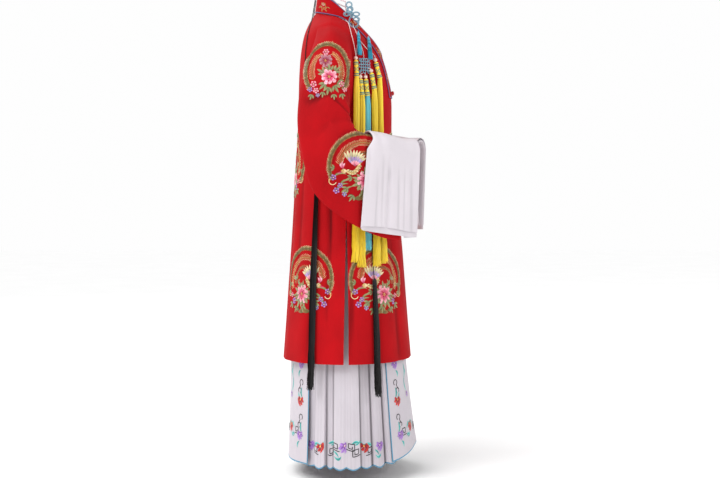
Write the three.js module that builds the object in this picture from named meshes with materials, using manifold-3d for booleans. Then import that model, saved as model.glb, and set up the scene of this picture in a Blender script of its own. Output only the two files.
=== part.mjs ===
// A woman's red opera robe worn over a white pleated skirt, with its knotted cord sets and tassels.
// Millimetres, +Z up. The front faces -Y and the wearer's left is +X. The origin is the middle of the
// neck opening, level with the tops of the shoulder seams, where the costume is held up. Every cloth
// piece is a thin closed wall whose outer points come from a short table of sections, and the seams
// are left 0.3 mm open.
import * as THREE from 'three';
import { mergeVertices } from 'three/addons/utils/BufferGeometryUtils.js';
import Module from 'manifold-3d';

const wasm = await Module();
wasm.setup();

// ---------- driving sizes ----------
const SHOULDER_HEIGHT = 1398;  // floor to the tops of the shoulder seams, the frame's zero
const ROBE_WALL = 1.6;         // robe crepe with its backing
const SILK_WALL = 1.0;         // water sleeve silk
const SKIRT_WALL = 1.2;        // skirt cloth
const BAND_WALL = 1.8;         // stiffened collar band
const SEAM_INSET = 0.17;       // each piece stops this far short of its seam line
const LIFT = 0.4;              // gap under what lies on a panel
const ARMHOLE_FRONT = 70;      // degrees from the front centre to the armhole's front edge
const ARMHOLE_BACK = 118;      // and to its back edge
const SIDE = 90;               // degrees to the side seam
const ARMHOLE_TOP = 2;         // torso table row of the shoulder point
const ARMHOLE_BOTTOM = 6;      // torso table row of the underarm
const SLIT_TOP = 9;            // torso table row where the side slit starts
const SLIT_GAP = 17;           // slit width at the hem
const OPENING_GAP = 7;         // front opening width at the hem
const OPENING_TOP_GAP = 1.2;   // and at the neck

const { sin, cos, abs, min, max, PI } = Math;
const rad = degrees => degrees * PI / 180;
const lerp = (a, b, t) => a + (b - a) * t;
const clamp = (value, low, high) => min(high, max(low, value));
const bell = t => Math.exp(-(t ** 2));
const smooth = t => {
  const c = clamp(t, 0, 1);
  return c * c * (3 - 2 * c);
};
const vec = (x, y, z) => new THREE.Vector3(x, y, z);
const steps = (from, to, count) =>
  Array.from({ length: count + 1 }, (_, i) => lerp(from, to, i / count));

// A table is a list of rows whose first line names the columns; heights in it are above the floor.
function table(columns, ...rows) {
  const names = columns.split(' ');
  return rows.map(row => Object.fromEntries(names.map((name, i) => [name, row[i]])));
}

// One column of a table at a fractional row, on a smooth curve through the rows.
function along(rows, column, at) {
  const t = clamp(at, 0, rows.length - 1);
  const i = min(Math.floor(t), rows.length - 2);
  const f = t - i;
  const value = k => rows[clamp(k, 0, rows.length - 1)][column];
  const [a, b, c, d] = [value(i - 1), value(i), value(i + 1), value(i + 2)];
  return b + f * 0.5 * (c - a + f * (2 * a - 5 * b + 4 * c - d + f * (3 * (b - c) + d - a)));
}

// ---------- walls ----------
// Puts a wall under a grid of outer points. shown(i, j) says which cells have cloth, and edges that
// are open, such as an armhole, are closed by a rim of the wall's thickness.
function wall(points, thickness, { wrap = false, shown = () => true, seams = true, facing = null } = {}) {
  const rows = points.length;
  const columns = points[0].length;
  const cellColumns = wrap ? columns : columns - 1;
  const has = (i, j) => {
    const column = wrap ? (j + columns) % columns : j;
    return i >= 0 && i < rows - 1 && column >= 0 && column < cellColumns && shown(i, column);
  };
  const at = (i, j) =>
    points[clamp(i, 0, rows - 1)][wrap ? (j + columns) % columns : clamp(j, 0, columns - 1)];
  const normals = facing ?? points.map((row, i) => row.map((_, j) => {
    const down = at(i + 1, j).clone().sub(at(i - 1, j));
    const across = at(i, j + 1).clone().sub(at(i, j - 1));
    return down.cross(across).normalize();
  }));
  const outer = [];
  const inner = [];
  const index = new Map();
  const vertex = (i, j) => {
    const column = wrap ? (j + columns) % columns : j;
    const key = i * columns + column;
    if (!index.has(key)) {
      const point = points[i][column].clone();
      const around = [[i, column], [i - 1, column], [i, column - 1], [i - 1, column - 1]];
      const cells = around.filter(cell => has(...cell));
      if (seams && cells.length < 4) {
        const middle = vec(0, 0, 0);
        for (const [ci, cj] of cells) {
          middle.add(at(ci, cj)).add(at(ci + 1, cj)).add(at(ci, cj + 1)).add(at(ci + 1, cj + 1));
        }
        const inward = middle.divideScalar(4 * cells.length).sub(point).normalize();
        point.addScaledVector(inward, SEAM_INSET * (cells.length === 2 ? 1 : 1.5));
      }
      index.set(key, outer.length);
      outer.push(point);
      inner.push(point.clone().addScaledVector(normals[i][column], -thickness));
    }
    return index.get(key);
  };
  const triangles = [];
  const quad = (a, b, c, d) => triangles.push([a, b, c], [a, c, d]);
  const innerFaces = [];
  const rims = [];
  for (let i = 0; i < rows - 1; i++) {
    for (let j = 0; j < cellColumns; j++) {
      if (!has(i, j)) continue;
      const [a, b, c, d] = [vertex(i, j), vertex(i + 1, j), vertex(i + 1, j + 1), vertex(i, j + 1)];
      quad(a, d, c, b);
      innerFaces.push([a, b, c, d]);
      if (!has(i - 1, j)) rims.push([a, d]);
      if (!has(i + 1, j)) rims.push([c, b]);
      if (!has(i, j - 1)) rims.push([b, a]);
      if (!has(i, j + 1)) rims.push([d, c]);
    }
  }
  const n = outer.length;
  for (const [a, b, c, d] of innerFaces) triangles.push([a + n, b + n, c + n], [a + n, c + n, d + n]);
  for (const [a, b] of rims) quad(b, a, a + n, b + n);
  return solid([...outer, ...inner], triangles);
}

// An indexed geometry whose faces point out.
function solid(points, triangles) {
  let volume = 0;
  for (const [a, b, c] of triangles) volume += points[a].dot(points[b].clone().cross(points[c]));
  const faces = volume < 0 ? triangles.map(([a, b, c]) => [a, c, b]) : triangles;
  const geometry = new THREE.BufferGeometry();
  const positions = points.flatMap(p => [p.x, p.y, p.z]);
  geometry.setAttribute('position', new THREE.Float32BufferAttribute(positions, 3));
  geometry.setIndex(faces.flat());
  return geometry;
}

// Joins closed geometries into one body.
function fuse(geometries) {
  const solids = geometries.map(geometry => {
    const bare = geometry.clone();
    for (const name of ['normal', 'uv']) bare.deleteAttribute(name);
    const merged = mergeVertices(bare, 1e-3);
    return new wasm.Manifold(new wasm.Mesh({
      numProp: 3,
      vertProperties: Float32Array.from(merged.attributes.position.array),
      triVerts: Uint32Array.from(merged.index.array),
    }));
  });
  const whole = solids.reduce((a, b) => a.add(b)).getMesh();
  const geometry = new THREE.BufferGeometry();
  geometry.setAttribute('position', new THREE.BufferAttribute(whole.vertProperties, 3));
  geometry.setIndex(new THREE.BufferAttribute(whole.triVerts, 1));
  return geometry;
}

// A closed tube of `sides` sides through points, with a radius at each point and flat ends.
function tube(points, radii, sides, flatten = null) {
  const rings = points.map((point, k) => {
    const ahead = points[min(k + 1, points.length - 1)].clone().sub(points[max(k - 1, 0)]).normalize();
    const out = flatten ? flatten[k].clone() : vec(1, 0, 0.01);
    const wide = ahead.clone().cross(out).normalize();
    const thin = wide.clone().cross(ahead).normalize();
    const [a, b] = Array.isArray(radii[k]) ? radii[k] : [radii[k], radii[k]];
    return steps(0, 2 * PI, sides).slice(0, -1).map(turn => point.clone()
      .addScaledVector(wide, a * cos(turn)).addScaledVector(thin, b * sin(turn)));
  });
  const triangles = [];
  const id = (k, s) => k * sides + (s % sides);
  for (let k = 0; k < rings.length - 1; k++) {
    for (let s = 0; s < sides; s++) {
      triangles.push([id(k, s), id(k, s + 1), id(k + 1, s + 1)]);
      triangles.push([id(k, s), id(k + 1, s + 1), id(k + 1, s)]);
    }
  }
  for (let s = 1; s < sides - 1; s++) {
    triangles.push([id(0, 0), id(0, s + 1), id(0, s)]);
    triangles.push([id(rings.length - 1, 0), id(rings.length - 1, s), id(rings.length - 1, s + 1)]);
  }
  return solid(rings.flat(), triangles);
}

// ---------- the robe's body ----------
// Rings from the neckline to the hem: height at the front, side and back, then how far forward, where
// the widest point lies, how far back, and how far out to the side.
const TORSO = table('zFront zSide zBack front middle back side',
  [1290, 1398, 1412, -101, 42, 96, 64],     // neckline
  [1262, 1384, 1380, -110, 44, 116, 118],
  [1232, 1360, 1340, -119, 46, 132, 164],   // shoulder point
  [1190, 1318, 1285, -129, 44, 142, 177],
  [1145, 1258, 1220, -137, 38, 147, 174],
  [1097, 1190, 1155, -138, 30, 149, 166],
  [1045, 1112, 1088, -138, 22, 151, 157],   // underarm
  [985, 1028, 1015, -141, 12, 154, 153],
  [915, 935, 930, -149, 6, 159, 160],
  [820, 820, 820, -158, 2, 165, 178],       // top of the side slit
  [705, 705, 705, -170, 0, 172, 197],
  [590, 590, 590, -179, 0, 180, 215],
  [475, 475, 475, -188, 0, 188, 232],
  [358, 356, 354, -198, 0, 197, 248]);      // hem
const HEM = TORSO.length - 1;
const HEM_HALF = 220;          // mean half width at the hem

// Soft hanging flutes that grow towards the hem: place round the body, half width and depth.
const FLUTES = table('turn width depth', [24, 13, 5], [52, 12, 6], [131, 13, 6], [157, 12, 5]);

// A point of the robe at an angle from the front centre (towards the wearer's left) and a table row.
function torso(turn, row) {
  const c = cos(rad(turn));
  const s = sin(rad(turn));
  const get = column => along(TORSO, column, row);
  const reach = c > 0 ? get('front') : get('back');
  const height = get('zSide') + (get(c > 0 ? 'zFront' : 'zBack') - get('zSide')) * abs(c) ** 1.5;
  const mirrored = turn > 180 ? 360 - turn : turn;
  const grow = smooth((row - ARMHOLE_BOTTOM) / (HEM - ARMHOLE_BOTTOM));
  const flute = FLUTES.reduce((sum, f) => sum + f.depth * bell((mirrored - f.turn) / f.width), 0);
  const out = 1 + grow * flute / HEM_HALF;
  const y = get('middle') + (reach - get('middle')) * abs(c) * out;
  return vec(get('side') * s * out, y, height - SHOULDER_HEIGHT);
}

const ARM_ROWS = steps(ARMHOLE_TOP, ARMHOLE_BOTTOM, 8);
const TORSO_ROWS = [0, 0.5, 1, 1.5, ...ARM_ROWS, 6.5, 7, 8, 9, 10, 11, 12, 13];
const FRONT_TURNS = [0, 8, 17, 27, 38, 49, 60, ...steps(ARMHOLE_FRONT, SIDE, 4)];
const BACK_TURNS = [...steps(SIDE, ARMHOLE_BACK, 4), 128, 139, 150, 160, 170, 180];
const inArmhole = (turn, row) =>
  row > ARMHOLE_TOP && row < ARMHOLE_BOTTOM && turn > ARMHOLE_FRONT && turn < ARMHOLE_BACK;

// How far an edge has drawn back from the side seam, or from the front centre, at a row.
const slitHalf = row => (row > SLIT_TOP ? SLIT_GAP / 2 * (row - SLIT_TOP) / (HEM - SLIT_TOP) : 0);
const openingHalf = row => lerp(OPENING_TOP_GAP, OPENING_GAP, row / HEM) / 2;

const flip = (side, grid) => (side > 0 ? grid : grid.map(row => [...row].reverse()));

function frontPanel(side) {
  const grid = TORSO_ROWS.map(row => FRONT_TURNS.map(turn => {
    const p = torso(turn, row);
    p.x = max(p.x, openingHalf(row));
    if (turn === SIDE) p.y -= slitHalf(row);
    p.x *= side;
    return p;
  }));
  const facing = TORSO_ROWS.map(row => FRONT_TURNS.map(turn => surfaceAt(side, turn, row).normal));
  return wall(flip(side, grid), ROBE_WALL, {
    facing: flip(side, facing),
    shown: (i, j) => {
      const cell = side > 0 ? j : FRONT_TURNS.length - 2 - j;
      const turn = (FRONT_TURNS[cell] + FRONT_TURNS[cell + 1]) / 2;
      return !inArmhole(turn, (TORSO_ROWS[i] + TORSO_ROWS[i + 1]) / 2);
    },
  });
}

function backPanel() {
  const turns = [...BACK_TURNS, ...BACK_TURNS.slice(0, -1).reverse().map(turn => 360 - turn)];
  const grid = TORSO_ROWS.map(row => turns.map(turn => {
    const p = torso(turn, row);
    if (turn === SIDE || turn === 360 - SIDE) p.y += slitHalf(row);
    return p;
  }));
  return wall(grid, ROBE_WALL, {
    facing: TORSO_ROWS.map(row => turns.map(turn => torsoNormal(turn, row))),
    shown: (i, j) => {
      const turn = (turns[j] + turns[j + 1]) / 2;
      return !inArmhole(turn > 180 ? 360 - turn : turn, (TORSO_ROWS[i] + TORSO_ROWS[i + 1]) / 2);
    },
  });
}

function torsoNormal(turn, row) {
  const across = torso(turn + 1, row).sub(torso(turn - 1, row));
  const down = torso(turn, min(row + 0.1, HEM)).sub(torso(turn, max(row - 0.1, 0)));
  return down.cross(across).normalize();
}

// The row at which a path over the torso, given as turnAt(row), comes down to a height above the floor.
function rowAtHeight(turnAt, height) {
  let [above, below] = [0, HEM];
  for (let pass = 0; pass < 24; pass++) {
    const row = (above + below) / 2;
    if (torso(turnAt(row), row).z > height - SHOULDER_HEIGHT) above = row;
    else below = row;
  }
  return (above + below) / 2;
}

const surfaceAt = (side, turn, row) => {
  const [point, normal] = [torso(turn, row), torsoNormal(turn, row)];
  point.x *= side;
  normal.x *= side;
  return { point, normal };
};

// The robe's surface on one side at a distance back and a height above the floor, or the place that
// hangs straight below the hem.
function flankAt(side, y, height) {
  const turnAt = row => {
    const middle = along(TORSO, 'middle', row);
    const reach = along(TORSO, y < middle ? 'front' : 'back', row);
    const turn = Math.acos(clamp((y - middle) / (reach - middle), 0, 0.9999)) * 180 / PI;
    return y < middle ? turn : 180 - turn;
  };
  const row = rowAtHeight(turnAt, height);
  const place = surfaceAt(side, turnAt(row), row);
  if (row > HEM - 0.001) place.point.z = height - SHOULDER_HEIGHT;
  return place;
}

// The robe's surface on the chest at a distance out from the front centre and a height.
function chestAt(side, x, height) {
  const turnAt = row => Math.asin(clamp(x / along(TORSO, 'side', row), 0, 1)) * 180 / PI;
  const row = rowAtHeight(turnAt, height);
  return surfaceAt(side, turnAt(row), row);
}

// ---------- sleeves ----------
// Sections from below the shoulder to the cuff for the left arm. top is the upper arm's front and then
// the forearm's upper edge, hang is the back of the arm and then the hanging fold, out faces away from
// the body and near faces it. flat says how thin the hanging part is.
const SLEEVE = table('cx cy cz topX topY topZ hangX hangY hangZ outX outY outZ nearX nearY nearZ flat',
  [200, 50, 1284, 202, -14, 1258, 206, 128, 1222, 229, 46, 1338, 177, 44, 1120, 0],
  [229, 54, 1212, 230, -11, 1206, 234, 138, 1152, 271, 48, 1266, 193, 50, 1100, 0],
  [254, 58, 1128, 254, -12, 1150, 261, 142, 1062, 301, 52, 1160, 211, 58, 1060, 0.1],
  [274, 56, 1064, 269, -16, 1098, 284, 128, 975, 320, 48, 1080, 232, 60, 1012, 0.25],
  [286, 40, 1020, 274, -24, 1060, 297, 103, 884, 329, 24, 1030, 244, 50, 980, 0.42],
  [280, 8, 996, 262, -46, 1038, 297, 64, 832, 318, -20, 1000, 240, 30, 968, 0.55],
  [260, -36, 984, 243, -74, 1030, 280, -2, 782, 295, -60, 988, 222, -12, 964, 0.62],
  [234, -82, 976, 221, -108, 1024, 253, -60, 749, 268, -104, 980, 198, -61, 960, 0.66],
  [206, -124, 970, 198, -137, 1016, 222, -116, 728, 238, -143, 974, 172, -105, 956, 0.68],
  [182, -158, 966, 178, -162, 1010, 196, -158, 722, 213, -176, 970, 150, -140, 953, 0.68]);
const CUFF = SLEEVE.length;    // section number of the cuff, where 0 is the armhole
const LEFT_FORWARD = -34;      // the left forearm lies further forward
const LEFT_UP = 12;            // and higher
const ARM_CELLS = 8;           // cells along each side of the armhole
const RING_TURNS = steps(45, 405, 4 * ARM_CELLS).slice(0, -1);

// Folds that start in the crook of the elbow and run over the outer side: section where each starts,
// how far along it has moved by the outer side, its half width and its depth.
const ELBOW_FOLDS = table('start slant width depth',
  [3.9, -1.7, 0.42, 7],
  [4.7, -0.5, 0.38, 7],
  [5.4, 0.9, 0.4, 6],
  [2.4, -1.1, 0.4, 4]);

function elbowFold(section, turn) {
  const round = turn > 180 ? turn - 360 : turn;
  const across = round / 90;
  const fade = smooth(1.9 - abs(across - 0.55) * 1.5);
  return fade * ELBOW_FOLDS.reduce((sum, f) =>
    sum - f.depth * bell((section - f.start - f.slant * across) / f.width), 0);
}

// The left forearm is carried a little forward of the right one.
const armShift = (side, section) => (side > 0 ? smooth((section - 4) / (CUFF - 4)) : 0);

// A ring point of the sleeve at a section from 1 to CUFF. turn 0 is the top, 90 out, 180 the fold.
function sleevePoint(side, section, turn) {
  const get = name => along(SLEEVE, name, section - 1);
  const corner = name => vec(get(name + 'X'), get(name + 'Y'), get(name + 'Z'));
  const centre = vec(get('cx'), get('cy'), get('cz'));
  const c = cos(rad(turn));
  const s = sin(rad(turn));
  const thin = c < 0 ? 1 - get('flat') * smooth(abs(c) * 1.25) : 1;
  const p = centre.clone();
  p.addScaledVector(corner(c > 0 ? 'top' : 'hang').sub(centre), abs(c));
  p.addScaledVector(corner(s > 0 ? 'out' : 'near').sub(centre), abs(s) * thin);
  p.addScaledVector(p.clone().sub(centre).normalize(), elbowFold(section, turn));
  const shift = armShift(side, section);
  return vec(p.x * side, p.y + LEFT_FORWARD * shift, p.z + LEFT_UP * shift - SHOULDER_HEIGHT);
}

// The armhole's edge, in the order of RING_TURNS: over the shoulder, down the back, under, up the front.
function armhole(side) {
  const loop = [];
  const turns = steps(ARMHOLE_FRONT, ARMHOLE_BACK, ARM_CELLS);
  const rows = steps(ARMHOLE_TOP, ARMHOLE_BOTTOM, ARM_CELLS);
  for (const turn of turns.slice(0, -1)) loop.push(torso(turn, ARMHOLE_TOP));
  for (const row of rows.slice(0, -1)) loop.push(torso(ARMHOLE_BACK, row));
  for (const turn of turns.slice(1).reverse()) loop.push(torso(turn, ARMHOLE_BOTTOM));
  for (const row of rows.slice(1).reverse()) loop.push(torso(ARMHOLE_FRONT, row));
  return loop.map(p => vec(p.x * side, p.y, p.z));
}

function sleeve(side) {
  const hole = armhole(side);
  const sections = [1, 2, 3, 3.7, 4.4, 5, 5.6, 6.4, 7.4, 8.6, CUFF];
  const grid = [hole, ...sections.map(section => RING_TURNS.map(turn => sleevePoint(side, section, turn)))];
  return wall(flip(side, grid), ROBE_WALL, { wrap: true });
}

// ---------- water sleeves ----------
// The white silk starts at the cuff, runs past the hand, folds back over the red sleeve and then folds
// forward again, open along its lower edge. Its path: sleeve section, distance outside the sleeve's
// surface, height of the lower edge above the floor, and the depth of the crease there.
const WATER = table('section off drop crease',
  [10.03, -0.4, 729, 0],
  [10.40, -0.2, 729, 0],
  [10.64, 0.6, 729, 0],
  [10.75, 2.8, 729, 0],
  [10.68, 5.4, 729, 0],
  [10.42, 6.4, 730, 0],
  [9.60, 6.6, 735, 0],
  [8.60, 6.6, 741, 1],
  [7.20, 6.8, 752, 0],
  [6.98, 7.8, 758, 0],
  [6.92, 10.2, 762, 0],
  [6.99, 12.4, 765, 0],
  [7.25, 13.2, 765, 0],
  [8.20, 13.6, 762, 0],
  [8.48, 13.6, 760, 5],
  [8.80, 13.6, 758, 0],
  [9.70, 13.4, 751, 0],
  [10.72, 13.0, 743, 0]);
const WATER_TURNS = [-176, -155, -133, -111, -90, -50, 0, 50, 90, 111, 133, 155, 176];
const WATER_END = 176;          // where the flap's lower edge lies on the same scale
const PAST_CUFF = 62;           // length of one section step beyond the cuff
const FLAP_HALF = 10;           // half the flaps' spread at the lower edge
const NEAR_FLAP_UP = 14;        // the flap beside the body hangs a little higher

// One point of the silk. turn runs from the upper edge (0) to the flap's lower edge on the outer side
// (positive) and on the side near the body (negative).
function silkPoint(side, { section, off, drop, crease }, turn) {
  const inside = min(section, CUFF);
  const lean = Math.sign(turn);
  const get = name => along(SLEEVE, name, inside - 1);
  const outward = vec((get('outX') - get('nearX')) * side, get('outY') - get('nearY'), 0).normalize();
  const ahead = sleevePoint(side, CUFF, 90).sub(sleevePoint(side, CUFF - 1, 90)).setZ(0).normalize();
  const upper = clamp(turn, -90, 90);
  const p = sleevePoint(side, inside, upper);
  p.addScaledVector(outward, off * sin(rad(upper))).add(vec(0, 0, off * cos(rad(upper))));
  if (abs(turn) > 90) {
    const down = (abs(turn) - 90) / (WATER_END - 90);
    const middle = sleevePoint(side, inside, 90).lerp(sleevePoint(side, inside, -90), 0.5);
    const lag = sleevePoint(side, inside, 180).sub(middle).dot(outward);
    const edge = middle.clone().addScaledVector(outward, lag + lean * (FLAP_HALF + off * 0.95));
    edge.z = drop + LEFT_UP * armShift(side, inside) + (lean < 0 ? NEAR_FLAP_UP : 0) - SHOULDER_HEIGHT;
    p.lerp(edge, down);
    p.addScaledVector(outward, -lean * crease * smooth(down * 3));
  }
  return p.addScaledVector(ahead, (section - inside) * PAST_CUFF);
}

function waterSleeve(side) {
  const grid = WATER.map(row => WATER_TURNS.map(turn => silkPoint(side, row, turn)));
  return wall(flip(side, grid), SILK_WALL, { seams: false });
}

// ---------- collar ----------
// The band's outer edge follows the neckline at a torso turn and row, and its free edge stands round
// the neck. From the back of the neck to the top of the chest.
const NECK_BAND = table('turn row x y z',
  [180, 0, 0.3, 88, 1466],
  [152, 0, 22, 85, 1465],
  [126, 0, 44, 71, 1461],
  [98, 0, 58, 44, 1446],
  [80, 0.03, 57, 19, 1424],
  [66, 0.14, 49, -10, 1397],
  [54, 0.34, 33, -44, 1364],
  [42, 0.64, 16, -78, 1328],
  [31, 1, 4.6, -100, 1296]);
// Down the chest the band lies on the robe, from its outer edge in to the opening.
const CHEST_BAND = table('x outerZ innerZ',
  [59, 1264, 1272],
  [59, 1240, 1247],
  [58, 1212, 1216],
  [58, 1182, 1184],
  [57, 1152, 1152]);
const BAND_INNER = 3;          // distance of the band's free edge from the front centre
const BAND_CELLS = 3;
const BAND_LIFT = 0.9;         // gap under the band
const BAND_SWELL = 12;         // how far the band bows out where it stands at the front

function bandStation(side, at) {
  const top = BAND_LIFT + BAND_WALL;
  return steps(0, 1, BAND_CELLS).map(across => {
    if (at < NECK_BAND.length) {
      const row = NECK_BAND[at];
      const seam = surfaceAt(side, row.turn, row.row);
      const free = vec(row.x * side, row.y, row.z - SHOULDER_HEIGHT);
      const away = vec(free.x, free.y - along(TORSO, 'middle', 0), 0).normalize();
      const p = seam.point.addScaledVector(seam.normal, top).lerp(free.addScaledVector(away, top), across);
      const swell = at < 4 ? 0 : BAND_SWELL * across * (1 - across);
      p.addScaledVector(away.setZ(0.5).normalize(), swell);
      if (at === 0) p.x = 0.7 * side;
      return p;
    }
    const row = CHEST_BAND[at - NECK_BAND.length];
    const x = lerp(row.x, BAND_INNER, across);
    const { point, normal } = chestAt(side, x, lerp(row.outerZ, row.innerZ, across));
    return point.addScaledVector(normal, top);
  });
}

function collarBand(side) {
  const stations = [...NECK_BAND, ...CHEST_BAND].map((_, at) => bandStation(side, at));
  const grid = steps(BAND_CELLS, 0, BAND_CELLS).map(k => stations.map(station => station[k]));
  return wall(flip(-side, grid), BAND_WALL, { seams: false });
}

// The white under-collar lines the standing part of the band and shows a little above it.
const UNDER = { stations: 7, rise: 0.36, gap: 1.8 };

function underCollar() {
  const away = p => vec(p.x, p.y - along(TORSO, 'middle', 0), 0).normalize();
  const half = (side, cell) => Array.from({ length: UNDER.stations }, (_, at) => {
    const p = bandStation(side, at)[cell];
    p.addScaledVector(away(p), -BAND_WALL - UNDER.gap);
    return at === 0 ? p.setX(0) : p;
  });
  const grid = [BAND_CELLS, BAND_CELLS - 1, BAND_CELLS - 2]
    .map(cell => [...half(1, cell).slice(1).reverse(), ...half(-1, cell)]);
  grid[0].forEach((p, k) => p.addScaledVector(p.clone().sub(grid[1][k]), UNDER.rise));
  return wall(grid, SILK_WALL, { seams: false });
}

// ---------- skirt ----------
// Rings from the waist to the hem: height at the front, side and back, reach forward and back, width.
const SKIRT = table('zFront zSide zBack front back side',
  [1000, 1004, 1006, -98, 104, 116],
  [900, 902, 904, -112, 122, 132],
  [760, 760, 760, -132, 140, 158],
  [600, 600, 600, -154, 156, 184],
  [345, 345, 345, -181, 172, 218],
  [190, 180, 180, -199, 177, 234],
  [88, 50, 47, -214, 182, 247]);
const PANEL_EDGE = 47;         // degrees from the centre to a flat panel's edge, front and back
// Pleats on each side, from the front panel's edge to the back panel's: place, and step in or out.
const PLEATS = table('turn rise',
  [39, -7], [54, 9], [54.7, -6], [66, 8], [66.7, -8], [78, -9], [78.7, 8], [90, 9], [102, 8],
  [102.7, -9], [111, -7], [111.7, 8], [122, 7], [122.7, -8], [141, -7]);
const PLEAT_BASE = 8;          // depth of the pleats' underlay below the flat panels
const PANEL_LIFT = 1.7;        // the flat panels lie this far outside the pleats' line
const WAIST_LIFT = 4.4;        // and the waistband this far outside it
const WAISTBAND_WALL = 2;
const SKIRT_ROWS = [0.1, 1, 2, 3, 4, 5, 6];
const WAISTBAND_ROWS = [0, 0.22, 0.42];

function skirtAt(turn, row, offset) {
  const c = cos(rad(turn));
  const get = column => along(SKIRT, column, row);
  const height = get('zSide') + (get(c > 0 ? 'zFront' : 'zBack') - get('zSide')) * c ** 4;
  const y = abs(c) * get(c > 0 ? 'front' : 'back');
  return vec((get('side') + offset) * sin(rad(turn)), y - offset * c, height - SHOULDER_HEIGHT);
}

function skirtPleats(side) {
  const grid = SKIRT_ROWS.map(row => PLEATS.map(({ turn, rise }) => {
    const p = skirtAt(turn, row, (rise - PLEAT_BASE) * lerp(0.02, 1, row / (SKIRT.length - 1)));
    return vec(p.x * side, p.y, p.z);
  }));
  return wall(flip(side, grid), SKIRT_WALL, { seams: false });
}

function skirtPanel(middle) {
  const turns = steps(middle - PANEL_EDGE - 3, middle + PANEL_EDGE + 3, 12);
  const grid = SKIRT_ROWS.map(row => turns.map(turn => skirtAt(turn, row, PANEL_LIFT)));
  return wall(grid, SKIRT_WALL, { seams: false });
}

function waistband() {
  const turns = steps(0, 360, 36).slice(0, -1);
  const grid = WAISTBAND_ROWS.map(row => turns.map(turn => skirtAt(turn, row, WAIST_LIFT)));
  return wall(grid, WAISTBAND_WALL, { wrap: true, seams: false });
}

// ---------- knotted cord sets ----------
const NECK_CORD = 2.5;         // radius of the cord round the neck
const CORD = 1.4;              // radius of the hanging cords
const KNOT_CORD = 2.2;         // radius of the cord that the knots are tied from
const KNOT_X = 70;             // distance of the upper knots from the middle
// Loops of the upper knot: place, height, half width and half height.
const KNOT_LOOPS = table('y z wide tall',
  [-6, 1432, 7, 7],
  [-11, 1418, 8, 8],
  [-1, 1403, 6, 6],
  [-24, 1404, 6, 6],
  [-18, 1386, 11, 14]);
const KNOT_HEART = { y: -13, z: 1405, radius: 7 };
const KNOT_FOOT = { y: -19, z: 1371 };
// The cord round the neck lies behind the band and comes forward to the upper knots.
const NECK_CORD_FRONT = table('x y z', [65, 30, 1451], [69, 14, 1445], [KNOT_X, 4, 1441]);
const NECK_CORD_REST = 1.3;    // gap behind the band
// The knot's cord runs down the chest and parts into three: to the last tassel, to the first one and to
// the square knot.
const CORD_PATHS = [
  [[-19, 1363], [-24, 1351], [-29, 1338], [-34, 1322], [-46, 1306], [-62, 1289], [-80, 1276]],
  [[-34, 1322], [-32, 1306], [-30, 1290], [-28.5, 1278]],
  [[-34, 1322], [-41, 1302], [-48, 1280], [-50, 1264], [-50, 1256]],
];
const SQUARE_KNOT = { y: -51.5, z: 1240, half: 15.5, thick: 5, rest: 1.2 };
// Tassels of one set, from back to front: where each hangs at its bead, where its silk starts and at
// its tip, and the heights of the bead and the tip above the floor.
const TASSELS = table('name beadY silkY tipY beadZ tipZ',
  ['outer', -28, -30.5, -27, 1262, 655],
  ['second', -41.5, -47, -45.5, 1207, 640],
  ['blue', -57, -63, -63, 1207, 690],
  ['fourth', -73.5, -83.5, -91, 1226, 642],
  ['inner', -86, -100, -111, 1260, 650]);
const BEAD = 6;
const HEAD_LENGTH = 50;
const HEAD_RADIUS = 6.5;
const STRAND = 2.4;            // radius of a strand of silk
const TASSEL_RADIUS = 8;
const REST = 1;                // cloth to the back of a tassel
const SMALL_TASSELS = table('name y top bottom', ['back', -28, 1340, 1284], ['front', -58, 1330, 1272]);
const SMALL_REST = 10.1;       // they hang over the cords
// Long black silk tassels: where the cord leaves the neck, its path over the robe, and the silk's.
const BLACK = table('name start cord silk',
  ['front', [],
    [[-73, 1146], [-73.4, 1000], [-74.5, 850], [-77, 680], [-78, 600]],
    [[-78, 600], [-84, 430], [-86, 357], [-88, 256]]],
  ['back', [[30, 96, 1457], [34, 102, 1418]],
    [[105, 1388], [110, 1366], [115, 1340], [119, 1312], [122, 1280], [124, 1230], [123, 1170],
      [116, 1090], [100, 980], [84, 884]],
    [[84, 884], [92, 600], [98, 357], [100, 276]]]);
const BLACK_CORD = 1.2;
const SILK_REST = 10;          // cloth to the middle of the long silk

const offCloth = (side, y, height, off) => {
  const { point, normal } = flankAt(side, y, height);
  return point.addScaledVector(normal, off);
};

// How far out a round thing of a given radius must hang to clear the cloth at a place on the side.
const clearOf = (side, y, height, off) => {
  const { point, normal } = flankAt(side, y, height);
  return abs(point.x) + off / max(abs(normal.x), 0.5);
};

// A tassel's line: the bead, the top of its silk, a straight fall past the waist, then out over the
// robe's flare to the tip, just clear of the cloth.
const WAIST_PART = 0.36;       // how far down its silk a tassel meets the flare

function hangLine(side, [beadY, silkY, tipY], [beadZ, silkZ, tipZ], off) {
  const bead = clearOf(side, beadY, beadZ, off);
  const need = t => clearOf(side, lerp(silkY, tipY, t), lerp(silkZ, tipZ, t), off);
  const top = max(bead, need(0));
  const slope = max(...steps(WAIST_PART + 0.05, 1, 10).map(t => (need(t) - top) / (t - WAIST_PART)), 0);
  const at = (x, y, z) => vec(side * x, y, z - SHOULDER_HEIGHT);
  return [at(bead, beadY, beadZ), ...[0, WAIST_PART, 1].map(t =>
    at(top + slope * max(t - WAIST_PART, 0), lerp(silkY, tipY, t), lerp(silkZ, tipZ, t)))];
}

// Strands that run down a line, spread round it in a ring and cut to slightly different lengths.
function strands(line, count, spread, radius, uneven) {
  return steps(0, 2 * PI, count).slice(0, -1).map((turn, k) => {
    const strand = line.map(p => p.clone().add(vec(spread * cos(turn), spread * sin(turn), 0)));
    strand[strand.length - 1].z += uneven * ((k * 2) % 3 - 1);
    return tube(strand, strand.map(() => radius), 3);
  });
}

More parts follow.
